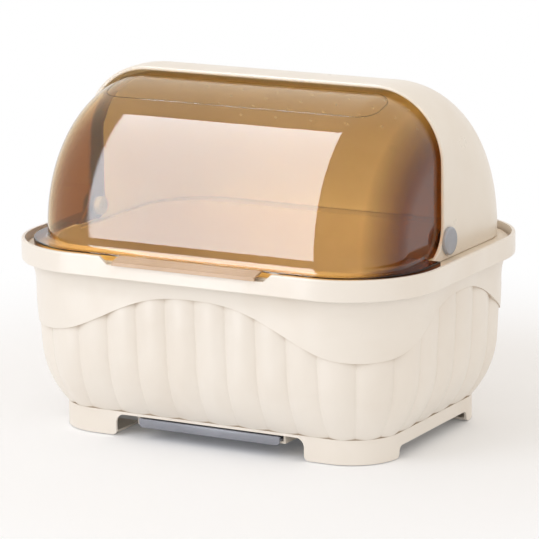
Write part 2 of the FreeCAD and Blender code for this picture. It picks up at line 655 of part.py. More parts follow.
# Foot pads: plain rubber discs pressed into the soles.
for end, way_y in (("front", -1), ("rear", 1)):
    for side, way_x in SIDES:
        foot_pad = body("foot_pad_%s_%s" % (end, side))
        pad(foot_pad, "XY_Plane", "0", "pad_thickness", ["circle", "0", "0", "pad_diameter / 2"])
        foot_pad.setExpression("Placement.Base.x", bound("%d * foot_x" % way_x))
        foot_pad.setExpression("Placement.Base.y", bound("%d * foot_y" % way_y))


# Drain basket: a drafted liner that hangs on the gutter's floor by its flange.
basket = body("drain_basket")
doc.recompute()


def basket_loft(kind, low, low_inset, high, high_inset):
    foot = sketch_in(basket, "XY_Plane", low, rim_outline(low_inset))
    head = sketch_in(basket, "XY_Plane", high, rim_outline(high_inset))
    made = basket.newObject("PartDesign::" + kind, "drain_basket_" + kind.lower())
    made.Profile = foot
    made.Sections = [head]
    made.Ruled = True
    doc.recompute()


basket_loft("AdditiveLoft", "basket_floor", "basket_foot_inset", "basket_rim", "upstand_inset")
pad(basket, "XY_Plane", "basket_seat", "basket_flange_thickness", rim_outline("basket_flange_inset"))
pad(basket, "XY_Plane", "basket_rim", "upstand_top - basket_rim", rim_outline("upstand_inset"))
basket_loft("SubtractiveLoft", "basket_inside", "basket_foot_inset + basket_wall",
            "basket_rim", "upstand_inset + upstand_wall")
feature(basket, "Pocket", sketch_in(basket, "XY_Plane", "upstand_top",
        rim_outline("upstand_inset + upstand_wall")), Length="upstand_top - basket_rim")
far = "rim_width"
feature(basket, "Pocket", sketch_in(basket, "XY_Plane", "upstand_top",
        rectangle(neg(far), "upstand_step", far, far)), Length="upstand_top - upstand_low")
slot_rows = []
for row in (-1.5, -0.5, 0.5, 1.5):
    middle = "%s * (basket_slot_length + basket_slot_gap)" % row
    x = "-(basket_slot_count - 1) / 2 * basket_slot_pitch"
    slot_rows.append(rectangle(
        "%s - basket_slot_width / 2" % x, "%s - basket_slot_length / 2" % middle,
        "%s + basket_slot_width / 2" % x, "%s + basket_slot_length / 2" % middle))
slots = feature(basket, "Pocket", sketch_in(basket, "XY_Plane", "basket_inside", *slot_rows),
                Length="basket_floor_thickness + 1")
row_of(basket, slots, "X_Axis", "basket_slot_pitch", "basket_slot_count")


# Racks: both are one-piece mouldings that stand in the basket.
def rack_frame(owner, middle_x):
    x0, x1 = "%s - rack_half_width" % middle_x, "%s + rack_half_width" % middle_x
    outer = rectangle(x0, neg("rack_depth_half"), x1, "rack_depth_half")
    inner = rectangle(x0 + " + rack_rail", neg("rack_depth_half - rack_rail"),
                      x1 + " - rack_rail", "rack_depth_half - rack_rail")
    pad(owner, "XY_Plane", "rack_base", "rack_bar", outer, inner)


plate_rack = body("plate_rack")
doc.recompute()
rack_frame(plate_rack, "rack_middle")
first_finger = "rack_middle - plate_pitch * (plate_count - 1) / 2"
bars = []
fingers = []
for way in ("-1", "1"):
    row = "%s * finger_row" % way
    bars.append(rectangle("rack_middle - rack_half_width + 1", "%s - finger_depth / 2" % row,
                          "rack_middle + rack_half_width - 1", "%s + finger_depth / 2" % row))
    fingers.append(rectangle(
        "%s - finger_thickness / 2" % first_finger, "%s - finger_depth / 2" % row,
        "%s + finger_thickness / 2" % first_finger, "%s + finger_depth / 2" % row))
pad(plate_rack, "XY_Plane", "rack_base", "rack_bar", *bars)
finger = pad(plate_rack, "XY_Plane", "rack_base", "finger_height", *fingers)
row_of(plate_rack, finger, "X_Axis", "plate_pitch", "plate_count")

bowl_rack = body("bowl_rack")
doc.recompute()
rack_frame(bowl_rack, "-(rack_middle)")
bar_x = "-(rack_middle) - (bowl_bars - 1) / 2 * bowl_pitch"
bar = pad(bowl_rack, "XY_Plane", "rack_base", "rack_bar", rectangle(
    bar_x + " - bowl_bar / 2", neg("rack_depth_half - 1"), bar_x + " + bowl_bar / 2", "rack_depth_half - 1"))
row_of(bowl_rack, bar, "X_Axis", "bowl_pitch", "bowl_bars")
# pegs stand on the middle bar and on the outer two
pegs = [["circle", "-(rack_middle) + %d * (bowl_bars - 1) / 2 * bowl_pitch" % step, "%d * peg_pitch_y" % row,
         "peg_diameter / 2"] for step in (-1, 0, 1) for row in (-1, 0, 1)]
pad(bowl_rack, "XY_Plane", "rack_base", "peg_height", *pegs)


# Hood: the rear half of the cover, turned about its own axis and cut to a half shell.
def dome_profile(half_width, radius, corner):
    """Half of the cover's arch, beside the turning axis."""
    return [
        (neg(half_width), "0"),
        (neg(half_width), "(%s) - (%s)" % (radius, corner), corner, -1),
        ("-((%s) - (%s))" % (half_width, corner), radius),
        ("(%s) - (%s)" % (half_width, corner), radius, corner, -1),
        (half_width, "(%s) - (%s)" % (radius, corner)),
        (half_width, "0"),
    ]


def dome(label, axis_y, axis_z, half_width, radius, corner, wall):
    made = body(label)
    doc.recompute()
    spin(made, "Revolution", dome_profile(half_width, radius, corner))
    spin(made, "Groove", dome_profile(
        "(%s) - (%s)" % (half_width, wall), "(%s) - (%s)" % (radius, wall), "(%s) - (%s)" % (corner, wall)))
    made.setExpression("Placement.Base.y", bound(axis_y))
    made.setExpression("Placement.Base.z", bound(axis_z))
    return made


hood_form = dome("hood_form", "hood_axis_y", "hood_axis_z",
                 "hood_half_width", "hood_radius", "hood_corner", "hood_wall")
far = "2 * hood_radius"
toe_run = "(hood_front - hood_toe)"
toe_radius = "((%s)^2 + hood_toe_rise^2) / (2 * (%s))" % (toe_run, toe_run)
base_z = "cover_seat - hood_axis_z"
pocket_through(hood_form, "YZ_Plane", "0", [
    (neg(far), far),
    ("hood_front - hood_axis_y", far),
    ("hood_front - hood_axis_y", "%s + hood_toe_tip + hood_toe_rise" % base_z, toe_radius, -1),
    ("hood_toe - hood_axis_y", "%s + hood_toe_tip" % base_z),
    ("hood_toe - hood_axis_y", base_z),
    (far, base_z),
    (far, neg(far)),
    (neg(far), neg(far)),
])


def depth_in_dome(point, half_width, radius, corner):
    """How far a point lies inside the dome's outer face."""
    across, out = abs(point.x), math.hypot(point.y, point.z)
    if across < half_width - corner:
        return radius - out
    if out < radius - corner:
        return half_width - across
    return corner - math.hypot(across - (half_width - corner), out - (radius - corner))


hood_cut = hood_form.Tip
front_local, base_local = mm("hood_front - hood_axis_y"), mm(base_z)
rounded = []
for number, edge in enumerate(hood_cut.Shape.Edges, start=1):
    middle = edge.valueAt((edge.FirstParameter + edge.LastParameter) / 2)
    on_face = abs(depth_in_dome(middle, mm("hood_half_width"), mm("hood_radius"), mm("hood_corner"))) < 0.05
    if on_face and middle.y < front_local + 0.01 and middle.z > base_local + mm("hood_toe_tip"):
        rounded.append("Edge%d" % number)
hood_round = hood_form.newObject("PartDesign::Fillet", "hood_round")
hood_round.Base = (hood_cut, rounded)
hood_round.setExpression("Radius", bound("hood_edge_round"))
doc.recompute()

vents = []
for row in range(int(mm("vent_rows"))):
    count = int(mm("vent_count")) + row % 2
    angle = "(vent_first_angle + %d * vent_angle_step)" % row
    for k in range(count):
        vent = cylinder("vent_%d_%d" % (row, k), "vent_diameter / 2", "hood_wall + 4",
                        "%s * vent_pitch" % (k - (count - 1) / 2),
                        "hood_axis_y + (hood_radius - hood_wall - 2) * cos(%s)" % angle,
                        "hood_axis_z + (hood_radius - hood_wall - 2) * sin(%s)" % angle,
                        Rotation(Vector(1, 0, 0), -(90 - mm(angle))))
        vent.setExpression("Placement.Rotation.Angle", bound("90 - %s" % angle))
        vents.append(vent)
hood_bore = cylinder("hood_bore", "bore_radius", "2 * hood_half_width + 2",
                     "-hood_half_width - 1", "pivot_y", "pivot_z", ALONG_X)
hood = cut("hood", hood_form, hood_bore, *vents)


# Visor: the clear front half, turned about the pivot, with a turned-down flange round its foot.
visor_form = dome("visor_form", "pivot_y", "pivot_z",
                  "visor_half_width", "visor_radius", "visor_corner", "visor_wall")
far = "2 * visor_radius"
foot_z = "flange_top - flange_thickness - pivot_z"
ear_run = "sqrt(visor_ear^2 - (%s)^2)" % foot_z
pocket_through(visor_form, "YZ_Plane", "0", [
    (neg(far), foot_z),
    ("-(%s)" % ear_run, foot_z, "visor_ear", 1),
    ("visor_tail", "-sqrt(visor_ear^2 - visor_tail^2)"),
    ("visor_tail", far),
    (far, far),
    (far, neg(far)),
    (neg(far), neg(far)),
])
# the oval panel on its upper side is set in a little
panel_band = dome("panel_band", "pivot_y", "pivot_z", "visor_half_width + 1", "visor_radius + 1",
                  "visor_corner + 1", "panel_depth + 1")
panel_column = body("panel_column")
doc.recompute()
pad(panel_column, "XY_Plane", "visor_radius / 2", "visor_radius",
    round_rectangle("panel_half_length", "panel_half_width", "panel_corner"))
panel_column.Placement = Placement(Vector(0, 0, 0), Rotation(Vector(1, 0, 0), 90 - mm("panel_angle")))
panel_column.setExpression("Placement.Base.y", bound("pivot_y"))
panel_column.setExpression("Placement.Base.z", bound("pivot_z"))
panel_column.setExpression("Placement.Rotation.Angle", bound("90 - panel_angle"))
panel = doc.addObject("Part::Common", "visor_panel")
panel.Base = panel_band
panel.Tool = panel_column
visor_dome = cut("visor_dome", visor_form, panel)

flange = body("visor_flange")
doc.recompute()
lip_bottom = "cover_seat"
pad(flange, "XY_Plane", lip_bottom, "flange_top - (%s)" % lip_bottom, rim_outline("flange_inset"))
feature(flange, "Pocket", sketch_in(flange, "XY_Plane", "flange_top - flange_thickness",
        rim_outline("flange_inset + flange_thickness")), Length=far)
inner_half = "visor_half_width - visor_wall / 2"
feature(flange, "Pocket", sketch_in(flange, "XY_Plane", "flange_top", round_rectangle(
        inner_half, "visor_radius - visor_wall / 2 - 0.2", "visor_corner - visor_wall / 2", "pivot_y")),
        Length=far)
feature(flange, "Pocket", sketch_in(flange, "XY_Plane", "flange_top",
        rectangle(neg(far), "flange_end", far, far)), Length=far)

tab = body("visor_tab")
doc.recompute()
face = "-rim_depth / 2"
tab_front = "%s - tab_reach" % face
tab_root = "%s + flange_inset + 1" % face
tab_top = "flange_top - tab_drop"
pad(tab, "YZ_Plane", "0", "2 * tab_half", [
    (tab_root, "flange_top"),
    (tab_root, "flange_top - flange_thickness"),
    ("%s + flange_thickness" % tab_front, "%s - flange_thickness" % tab_top),
    ("%s + flange_thickness" % tab_front, "%s - tab_lip" % tab_top),
    (tab_front, "%s - tab_lip" % tab_top),
    (tab_front, tab_top),
], Midplane=True)

boss_left = cylinder("boss_left", "boss_diameter / 2", "visor_side_gap - seat_gap + 0.5",
                     "-visor_half_width - visor_side_gap + seat_gap", "pivot_y", "pivot_z", ALONG_X)
boss_right = cylinder("boss_right", "boss_diameter / 2", "visor_side_gap - seat_gap + 0.5",
                      "visor_half_width - 0.5", "pivot_y", "pivot_z", ALONG_X)
visor_bore = cylinder("visor_bore", "bore_radius", "2 * hood_half_width",
                      "-hood_half_width", "pivot_y", "pivot_z", ALONG_X)
visor_solid = joined("visor_solid", visor_dome, flange, tab, boss_left, boss_right)
visor = cut("visor", visor_solid, visor_bore)


# Pivot pins with button heads, and the caps that hold them from inside.
for side, way in SIDES:
    pin = body("pivot_pin_" + side)
    doc.recompute()
    head_foot = "hood_half_width + seat_gap"
    head_face = "hood_half_width + seat_gap + button_thickness"
    pin_end = "retainer_face - retainer_length + retainer_end + retainer_play"
    spin(pin, "Revolution", [
        (pin_end, "0"),
        (pin_end, "pin_diameter / 2 - pin_chamfer"),
        ("%s + pin_chamfer" % pin_end, "pin_diameter / 2"),
        (head_foot, "pin_diameter / 2"),
        (head_foot, "button_diameter / 2"),
        ("%s - button_round" % head_face, "button_diameter / 2", "button_round", 1),
        (head_face, "button_diameter / 2 - button_round"),
        (head_face, "0"),
    ])
    retainer = body("pivot_retainer_" + side)
    doc.recompute()
    inner_end = "retainer_face - retainer_length"
    spin(retainer, "Revolution", [
        (inner_end, "0"),
        (inner_end, "retainer_diameter / 2 - retainer_chamfer"),
        ("%s + retainer_chamfer" % inner_end, "retainer_diameter / 2"),
        ("retainer_face", "retainer_diameter / 2"),
        ("retainer_face", "bore_radius"),
        ("%s + retainer_end" % inner_end, "bore_radius"),
        ("%s + retainer_end" % inner_end, "0"),
    ])
    for piece in (pin, retainer):
        if way < 0:
            piece.Placement = Placement(Vector(0, 0, 0), Rotation(Vector(0, 0, 1), 180))
        piece.setExpression("Placement.Base.y", bound("pivot_y"))
        piece.setExpression("Placement.Base.z", bound("pivot_z"))


# Drip tray: a shallow trough with a deeper front and a runner along each side.
tray = body("drip_tray")
doc.recompute()
tray_rim = "tray_top - 1"
pad(tray, "XY_Plane", "tray_bottom", "%s - tray_bottom" % tray_rim,
    rectangle(neg("tray_half"), "tray_front + 1", "tray_half", "tray_back"))
pad(tray, "XY_Plane", "runner_height", "runner_thickness",
    rectangle(neg("tray_half + runner_reach"), "tray_front + 1", "tray_half + runner_reach", "tray_back"))
pad(tray, "XZ_Plane", "-(tray_front + tray_wall)", "tray_wall", [
    (neg("tray_face_half"), "tray_bottom + tray_corner", "tray_corner", 1),
    (neg("tray_face_half - tray_corner"), "tray_bottom"),
    ("tray_face_half - tray_corner", "tray_bottom", "tray_corner", 1),
    ("tray_face_half", "tray_bottom + tray_corner"),
    ("tray_face_half", "tray_top"),
    (neg("tray_face_half"), "tray_top"),
])
feature(tray, "Pocket", sketch_in(tray, "XY_Plane", tray_rim, rectangle(
    neg("tray_half - tray_wall"), "tray_front + tray_wall", "tray_half - tray_wall", "tray_back - tray_wall")),
    Length="%s - tray_bottom - tray_wall" % tray_rim)


# Rails: Z-shaped channels screwed up under the floor.
for side, way in SIDES:
    rail = body("tray_rail_" + side)
    doc.recompute()

    def at(x):
        return x if way > 0 else neg(x)

    section = [
        (at("rail_web - rail_lip"), "rail_shelf - rail_wall"),
        (at("rail_web"), "rail_shelf - rail_wall"),
        (at("rail_web"), "floor_bottom - rail_wall"),
        (at("rail_web + rail_flange"), "floor_bottom - rail_wall"),
        (at("rail_web + rail_flange"), "floor_bottom"),
        (at("rail_inner"), "floor_bottom"),
        (at("rail_inner"), "rail_shelf"),
        (at("rail_web - rail_lip"), "rail_shelf"),
    ]
    pad(rail, "XZ_Plane", neg("rail_end"), "rail_end - rail_front", section)
    stop = rectangle(at("rail_web - rail_lip"), "rail_end - rail_wall", at("rail_inner + 0.2"), "rail_end")
    pad(rail, "XY_Plane", "rail_shelf - 0.2", "runner_thickness + 1.5", stop)
    holes = [["circle", at("screw_x"), "%d * screw_spacing / 2" % row, "screw_diameter / 2 + pin_clearance"]
             for row in (-1, 1)]
    pocket_through(rail, "XY_Plane", "floor_bottom", *holes)

screws = []
for side, way in SIDES:
    for row in (-1, 1):
        name = "screw_%s_%d" % (side, row)
        place_x, place_y = "%d * screw_x" % way, "%d * screw_spacing / 2" % row
        head_bottom = "floor_bottom - rail_wall - screw_head_height"
        shank = cylinder(name + "_shank", "screw_diameter / 2", "screw_length", place_x, place_y, head_bottom)
        head = cylinder(name + "_head", "screw_head / 2", "screw_head_height", place_x, place_y, head_bottom)
        screws.append(joined(name, shank, head))
rail_screws = doc.addObject("Part::Compound", "rail_screws")
rail_screws.Label = "rail_screws"
rail_screws.Links = screws

doc.recompute()

NODES = ["tub", "drain_basket", "plate_rack", "bowl_rack", "hood", "visor", "drip_tray", "rail_screws"]
NODES += ["%s_%s" % (name, side) for name in ("pivot_pin", "pivot_retainer", "tray_rail") for side, way in SIDES]
NODES += ["foot_pad_%s_%s" % (end, side) for end in ("front", "rear") for side, way in SIDES]

for item in doc.Objects:
    if "Invalid" in item.State or "Error" in item.State:
        raise RuntimeError("%s did not build: %s" % (item.Name, item.State))
os.makedirs("parts", exist_ok=True)
for node in NODES:
    found = [item for item in doc.Objects if item.Label == node]
    if len(found) != 1:
        raise RuntimeError("%d objects are labelled %s" % (len(found), node))
    shape = found[0].Shape
    if shape.isNull() or not shape.isValid() or not shape.Solids:
        raise RuntimeError("%s has no sound shape" % node)
    shape.exportStep("parts/%s.step" % node)
    box = shape.BoundBox
    print("%-22s solids %d  volume %9.1f  x %7.1f %7.1f  y %7.1f %7.1f  z %6.1f %6.1f" % (
        node, len(shape.Solids), shape.Volume, box.XMin, box.XMax, box.YMin, box.YMax, box.ZMin, box.ZMax))
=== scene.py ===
import math
import bmesh
import bpy
from mathutils import Matrix, Vector


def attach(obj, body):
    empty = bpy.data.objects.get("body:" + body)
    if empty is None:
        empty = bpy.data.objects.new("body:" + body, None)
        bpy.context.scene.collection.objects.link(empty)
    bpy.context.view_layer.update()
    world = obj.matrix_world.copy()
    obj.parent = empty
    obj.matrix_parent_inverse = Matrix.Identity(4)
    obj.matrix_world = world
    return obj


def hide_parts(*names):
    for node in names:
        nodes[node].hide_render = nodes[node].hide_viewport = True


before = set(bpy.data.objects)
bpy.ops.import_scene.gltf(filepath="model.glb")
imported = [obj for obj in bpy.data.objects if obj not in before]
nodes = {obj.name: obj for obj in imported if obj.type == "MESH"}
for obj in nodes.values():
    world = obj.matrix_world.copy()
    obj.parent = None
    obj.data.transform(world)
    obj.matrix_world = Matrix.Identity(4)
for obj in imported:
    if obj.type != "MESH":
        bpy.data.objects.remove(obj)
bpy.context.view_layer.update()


# Outer tub. One large moulding in cream polypropylene: collar, gutter, fluted walls, skirt and
# feet come out of the mould in one piece. It is satin, with slow waves where thick parts shrank
# and faint flow marks, and shade is painted into the grooves between the flutes.
def linear(hex_colour):
    """An sRGB hex colour as the linear colour that shader sockets take."""
    parts = [int(hex_colour[k:k + 2], 16) / 255 for k in (1, 3, 5)]
    return [c / 12.92 if c <= 0.04045 else ((c + 0.055) / 1.055) ** 2.4 for c in parts] + [1.0]


def add(tree, kind, inputs=None, **settings):
    """Adds a shader node, sets it up, and sets or links its inputs."""
    made = tree.nodes.new(kind)
    for name, value in settings.items():
        setattr(made, name, value)
    for name, value in (inputs or {}).items():
        if isinstance(value, bpy.types.NodeSocket):
            tree.links.new(value, made.inputs[name])
        else:
            made.inputs[name].default_value = value
    return made


def per_metre(millimetres):
    """Noise scale whose blotches are about this wide."""
    return 1000 / millimetres


def moulded(name, light, deep, flow_mm, grain_mm, rough, grain=0.05, groove_shade=None):
    """A moulded plastic: two close tones in flow marks, uneven gloss, sink waves and mould grain.

    Real mould grain is too fine to show, so grain_mm is as coarse as it has to be to show.
    With groove_shade, shade is painted into grooves and creases.
    """
    gloss_patch_mm, sink_mm = 26, 38
    sink_depth, grain_depth = 0.0012, 0.0004
    groove_shade_reach = 0.007
    material = bpy.data.materials.new(name)
    material.use_nodes = True
    tree = material.node_tree
    surface = tree.nodes["Principled BSDF"]
    place = add(tree, "ShaderNodeTexCoord").outputs["Object"]
    flow = add(tree, "ShaderNodeTexNoise", {"Vector": place, "Scale": per_metre(flow_mm),
                                            "Detail": 3.0, "Roughness": 0.55, "Distortion": 0.6})
    tones = add(tree, "ShaderNodeValToRGB", {"Fac": flow.outputs["Fac"]})
    tones.color_ramp.elements[0].position = 0.32
    tones.color_ramp.elements[0].color = linear(deep)
    tones.color_ramp.elements[1].position = 0.62
    tones.color_ramp.elements[1].color = linear(light)
    colour = tones.outputs["Color"]
    # painted shade: occlusion darkens grooves and creases towards the groove_shade colour
    if groove_shade:
        hollow = add(tree, "ShaderNodeAmbientOcclusion", {"Distance": groove_shade_reach},
                     samples=6, only_local=True)
        groove_shade_amount = add(tree, "ShaderNodeMapRange",
                           {"Value": hollow.outputs["AO"], "From Min": 0.5, "From Max": 0.86,
                            "To Min": 1.0, "To Max": 0.0})
        groove_shaded = add(tree, "ShaderNodeMix", {"Factor": groove_shade_amount.outputs["Result"],
                                              "A": colour, "B": linear(groove_shade)},
                      data_type="RGBA")
        colour = groove_shaded.outputs["Result"]
    gloss = add(tree, "ShaderNodeTexNoise", {"Vector": place, "Scale": per_metre(gloss_patch_mm),
                                             "Detail": 4.0})
    gloss_range = add(tree, "ShaderNodeMapRange",
                      {"Value": gloss.outputs["Fac"], "From Min": 0.3, "From Max": 0.7,
                       "To Min": rough - 0.05, "To Max": rough + 0.06})
    waves = add(tree, "ShaderNodeTexNoise", {"Vector": place, "Scale": per_metre(sink_mm),
                                             "Detail": 1.0})
    pits = add(tree, "ShaderNodeTexNoise", {"Vector": place, "Scale": per_metre(grain_mm),
                                            "Detail": 2.0})
    wave_bump = add(tree, "ShaderNodeBump", {"Height": waves.outputs["Fac"], "Strength": 0.25,
                                             "Distance": sink_depth})
    grain_bump = add(tree, "ShaderNodeBump", {"Height": pits.outputs["Fac"], "Strength": grain,
                                              "Distance": grain_depth,
                                              "Normal": wave_bump.outputs["Normal"]})
    tree.links.new(colour, surface.inputs["Base Color"])
    tree.links.new(gloss_range.outputs["Result"], surface.inputs["Roughness"])
    tree.links.new(grain_bump.outputs["Normal"], surface.inputs["Normal"])
    surface.inputs["IOR"].default_value = 1.49
    return material


def finish_node(name, material):
    """Gives a CAD node its material."""
    mesh = nodes[name].data
    mesh.materials.clear()
    mesh.materials.append(material)


cream_polypropylene = moulded("cream_polypropylene_satin_shaded_grooves", "#F5EFE6", "#F0E8DD",
                              110, 2.4, 0.34, groove_shade="#CDBFAE")
finish_node("tub", cream_polypropylene)


# Foot pads. Black moulded rubber discs with a matt skin that hardly shines, pressed into the
# soles. Two ring grooves in each lower face help it to grip the worktop.
def spun(points_mm, cent, axis, out):
    """A full spin of a section: each point is (out from the axis, place along it), in mm."""
    shape = bmesh.new()
    turn, side, cent = Vector(axis), Vector(out), Vector(cent)
    verts = [shape.verts.new(cent + side * (r / 1000) + turn * (along / 1000))
             for r, along in points_mm]
    edges = [shape.edges.new(pair) for pair in zip(verts, verts[1:])]
    bmesh.ops.spin(shape, geom=verts + edges, cent=cent, axis=axis, dvec=(0, 0, 0),
                   angle=math.tau, steps=64, use_merge=True, use_duplicate=False)
    return shape


def settle(shape):
    """Merges doubled points and turns the faces outwards."""
    bmesh.ops.remove_doubles(shape, verts=shape.verts[:], dist=2e-6)
    bmesh.ops.recalc_face_normals(shape, faces=shape.faces[:])


def shade(mesh):
    """Smooth faces, with the moulding's real edges kept crisp."""
    crisp_from = 38
    mesh.shade_smooth()
    mesh.set_sharp_from_angle(angle=math.radians(crisp_from))


def make_piece(name, shape, material, body, slot, *stands_for):
    """Keeps a worked shape as a piece that rides on its body and stands for its CAD nodes."""
    mesh = bpy.data.meshes.new(name)
    shape.to_mesh(mesh)
    shape.free()
    shade(mesh)
    mesh.materials.append(material)
    made = bpy.data.objects.new(name, mesh)
    bpy.context.collection.objects.link(made)
    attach(made, body)
    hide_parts(*stands_for)
    return made


rubber = moulded("black_rubber_moulded", "#2B2A29", "#232221", 12, 0.9, 0.75, grain=0.2)
pad_x, pad_y = 0.159, 0.1006
pad_section = [(0, 0), (3.2, 0), (3.6, 0.5), (4.4, 0.5), (4.8, 0), (7.0, 0), (7.4, 0.5),
               (8.2, 0.5), (8.6, 0), (10.2, 0), (10.8, 0.25), (11, 0.8), (11, 2.3), (0, 2.3)]
for end, way_y in (("front", -1), ("rear", 1)):
    for side, way_x in (("left", -1), ("right", 1)):
        shape = spun(pad_section, (way_x * pad_x, way_y * pad_y, 0), (0, 0, 1), (1, 0, 0))
        settle(shape)
        node = "foot_pad_%s_%s" % (end, side)
        make_piece(node + "_ringed", shape, rubber, "tub", "rubber", node)


# Rails. Two mirrored Z sections moulded in cream polypropylene, a shade deeper than the tub, with
# a plain satin face. Each is screwed up under the tub's floor and carries one side of the tray.
rail_polypropylene = moulded("cream_polypropylene_rail", "#F1E9DD", "#EAE0D2", 60, 2.0, 0.38)
for side in ("left", "right"):
    finish_node("tray_rail_" + side, rail_polypropylene)


# Rail screws. Pan-head screws with a cross recess, pressed and rolled from steel, then zinc
# plated, which leaves a slightly bluish bright skin. They go in from below, two to a rail.
def zinc_plate(name):
    """Plated steel: a fine spangle in two greys, and a slightly uneven shine.

    Real plating's grain is too fine to show, so both patterns are drawn about a millimetre wide.
    """
    spangle_mm, shine_mm = 1.2, 0.8
    material = bpy.data.materials.new(name)
    material.use_nodes = True
    tree = material.node_tree
    surface = tree.nodes["Principled BSDF"]
    place = add(tree, "ShaderNodeTexCoord").outputs["Object"]
    spangle = add(tree, "ShaderNodeTexVoronoi", {"Vector": place, "Scale": per_metre(spangle_mm)})
    tone = add(tree, "ShaderNodeValToRGB", {"Fac": spangle.outputs["Distance"]})
    tone.color_ramp.elements[0].color = linear("#B9BDC2")
    tone.color_ramp.elements[1].color = linear("#D3D6D8")
    tree.links.new(tone.outputs["Color"], surface.inputs["Base Color"])
    shine = add(tree, "ShaderNodeTexNoise", {"Vector": place, "Scale": per_metre(shine_mm)})
    shine_range = add(tree, "ShaderNodeMapRange", {"Value": shine.outputs["Fac"],
                                                   "To Min": 0.25, "To Max": 0.45})
    tree.links.new(shine_range.outputs["Result"], surface.inputs["Roughness"])
    surface.inputs["Metallic"].default_value = 1.0
    return material


def keep_mesh(made):
    """Keeps what a piece's modifiers make as its own mesh."""
    state = bpy.context.evaluated_depsgraph_get()
    mesh = bpy.data.meshes.new_from_object(made.evaluated_get(state), depsgraph=state)
    made.modifiers.clear()
    made.data = mesh
    shade(mesh)


def carve(made, operation, shape):
    """Joins a shape to a piece, or cuts it out of the piece."""
    mesh = bpy.data.meshes.new("tool")
    shape.to_mesh(mesh)
    shape.free()
    tool = bpy.data.objects.new("tool", mesh)
    bpy.context.collection.objects.link(tool)
    step = made.modifiers.new("carve", "BOOLEAN")
    step.operation = operation
    step.object = tool
    step.solver = "EXACT"
    keep_mesh(made)
    bpy.data.objects.remove(tool)


def new_verts(result):
    """The points among what an extrude made."""
    return [item for item in result["geom"] if isinstance(item, bmesh.types.BMVert)]


def add_turned(shape, section_mm, x, y):
    """Adds one upright turned form, its middle at X and Y in mm, to a shape that holds several."""
    single = spun(section_mm, (x / 1000, y / 1000, 0), (0, 0, 1), (1, 0, 0))
    settle(single)
    mesh = bpy.data.meshes.new("turned")
    single.to_mesh(mesh)
    single.free()
    shape.from_mesh(mesh)


screw_x, screw_y = 92.7, 75
screw_section = [(0, 23.2), (2.3, 23.2), (3.1, 23.5), (3.5, 24.2), (3.5, 25.2), (1.75, 25.2),
                 (1.75, 30.4), (0.6, 31.2), (0, 31.2)]
recess_foot, recess_height = 0.0228, 0.0015
arm, reach = 0.4, 1.9
cross = [(arm, arm), (arm, reach), (-arm, reach), (-arm, arm), (-reach, arm), (-reach, -arm),
         (-arm, -arm), (-arm, -reach), (arm, -reach), (arm, -arm), (reach, -arm), (reach, arm)]
shape = bmesh.new()
recesses = bmesh.new()
for way_x in (-1, 1):
    for way_y in (-1, 1):
        x, y = way_x * screw_x, way_y * screw_y
        add_turned(shape, screw_section, x, y)
        # one outline for each recess: two crossed blocks would empty the screw when cut from it
        foot = recesses.faces.new([recesses.verts.new(((x + a) / 1000, (y + b) / 1000, recess_foot))
                                   for a, b in cross])
        top = bmesh.ops.extrude_face_region(recesses, geom=[foot])
        bmesh.ops.translate(recesses, verts=new_verts(top), vec=(0, 0, recess_height))
bmesh.ops.recalc_face_normals(recesses, faces=recesses.faces[:])
screws = make_piece("rail_screws_cross_head", shape, zinc_plate("zinc_plated_steel_screw"),
                    "tub", "screw_steel", "rail_screws")
carve(screws, "DIFFERENCE", recesses)


# Drip tray. A shallow grey polypropylene tray with a fine satin grain, which slides on its side
# runners under the floor. Its front has softly broken edges, and low ribs keep its floor flat.
def bevel(shape, geom, width, segments=2, affect="EDGES", clamp=True):
    """Rounds edges or corners of a shape."""
    bmesh.ops.bevel(shape, geom=geom, offset=width, offset_type="OFFSET", segments=segments,
                    profile=0.5, affect=affect, material=-1, clamp_overlap=clamp)


def block(shape, low, high, round_mm, tip=1.0):
    """Adds a block between two corners in mm, its top drawn in by tip, its edges rounded."""
    low, high = Vector(low) / 1000, Vector(high) / 1000
    size = high - low
    made = bmesh.ops.create_cube(shape, size=1)
    for vert in made["verts"]:
        if vert.co.z > 0:
            vert.co.x *= tip
            vert.co.y *= tip
        vert.co = (low + high) / 2 + Vector(a * b for a, b in zip(vert.co, size))
    bevel(shape, list({edge for vert in made["verts"] for edge in vert.link_edges}),
          round_mm / 1000)


tray_polypropylene = moulded("grey_polypropylene_tray", "#9497A1", "#8A8D97",
                             70, 1.6, 0.36, grain=0.08)
tray_width = 0.144
tray_front, tray_back = -0.1276, 0.1034
tray_bottom, tray_rim = 0.0125, 0.0206
tray_wall, tray_hollow = 0.002, 0.0061
floor_edges_below = 0.0146
edge_round = 0.0009
shape = bmesh.new()
bmesh.ops.create_cube(shape, size=1)
for vert in shape.verts:
    vert.co.x *= tray_width
    vert.co.y = tray_front if vert.co.y < 0 else tray_back
    vert.co.z = tray_bottom if vert.co.z < 0 else tray_rim
upright = [edge for edge in shape.edges if abs(edge.verts[0].co.z - edge.verts[1].co.z) > 0.001]
bevel(shape, upright, 0.004, segments=4, clamp=False)
top = [face for face in shape.faces if face.normal.z > 0.9]
bmesh.ops.inset_region(shape, faces=top, thickness=tray_wall, use_even_offset=True)
bmesh.ops.translate(shape, verts=list({vert for face in top for vert in face.verts}),
                    vec=(0, 0, -tray_hollow))
floor_edges = [edge for edge in shape.edges if edge.calc_face_angle(0) > 1
               and all(vert.co.z < floor_edges_below for vert in edge.verts)]
bevel(shape, floor_edges, edge_round)
for rib_x in (-36, 0, 36):
    block(shape, (rib_x - 0.8, -118, 14.2), (rib_x + 0.8, 94, 15.4), 0.4)
for way_x in (-1, 1):
    low, high = sorted((way_x * 71.5, way_x * 79.5))
    block(shape, (low, -127.0, 16.3), (high, 103.4, 18.3), 0.5)

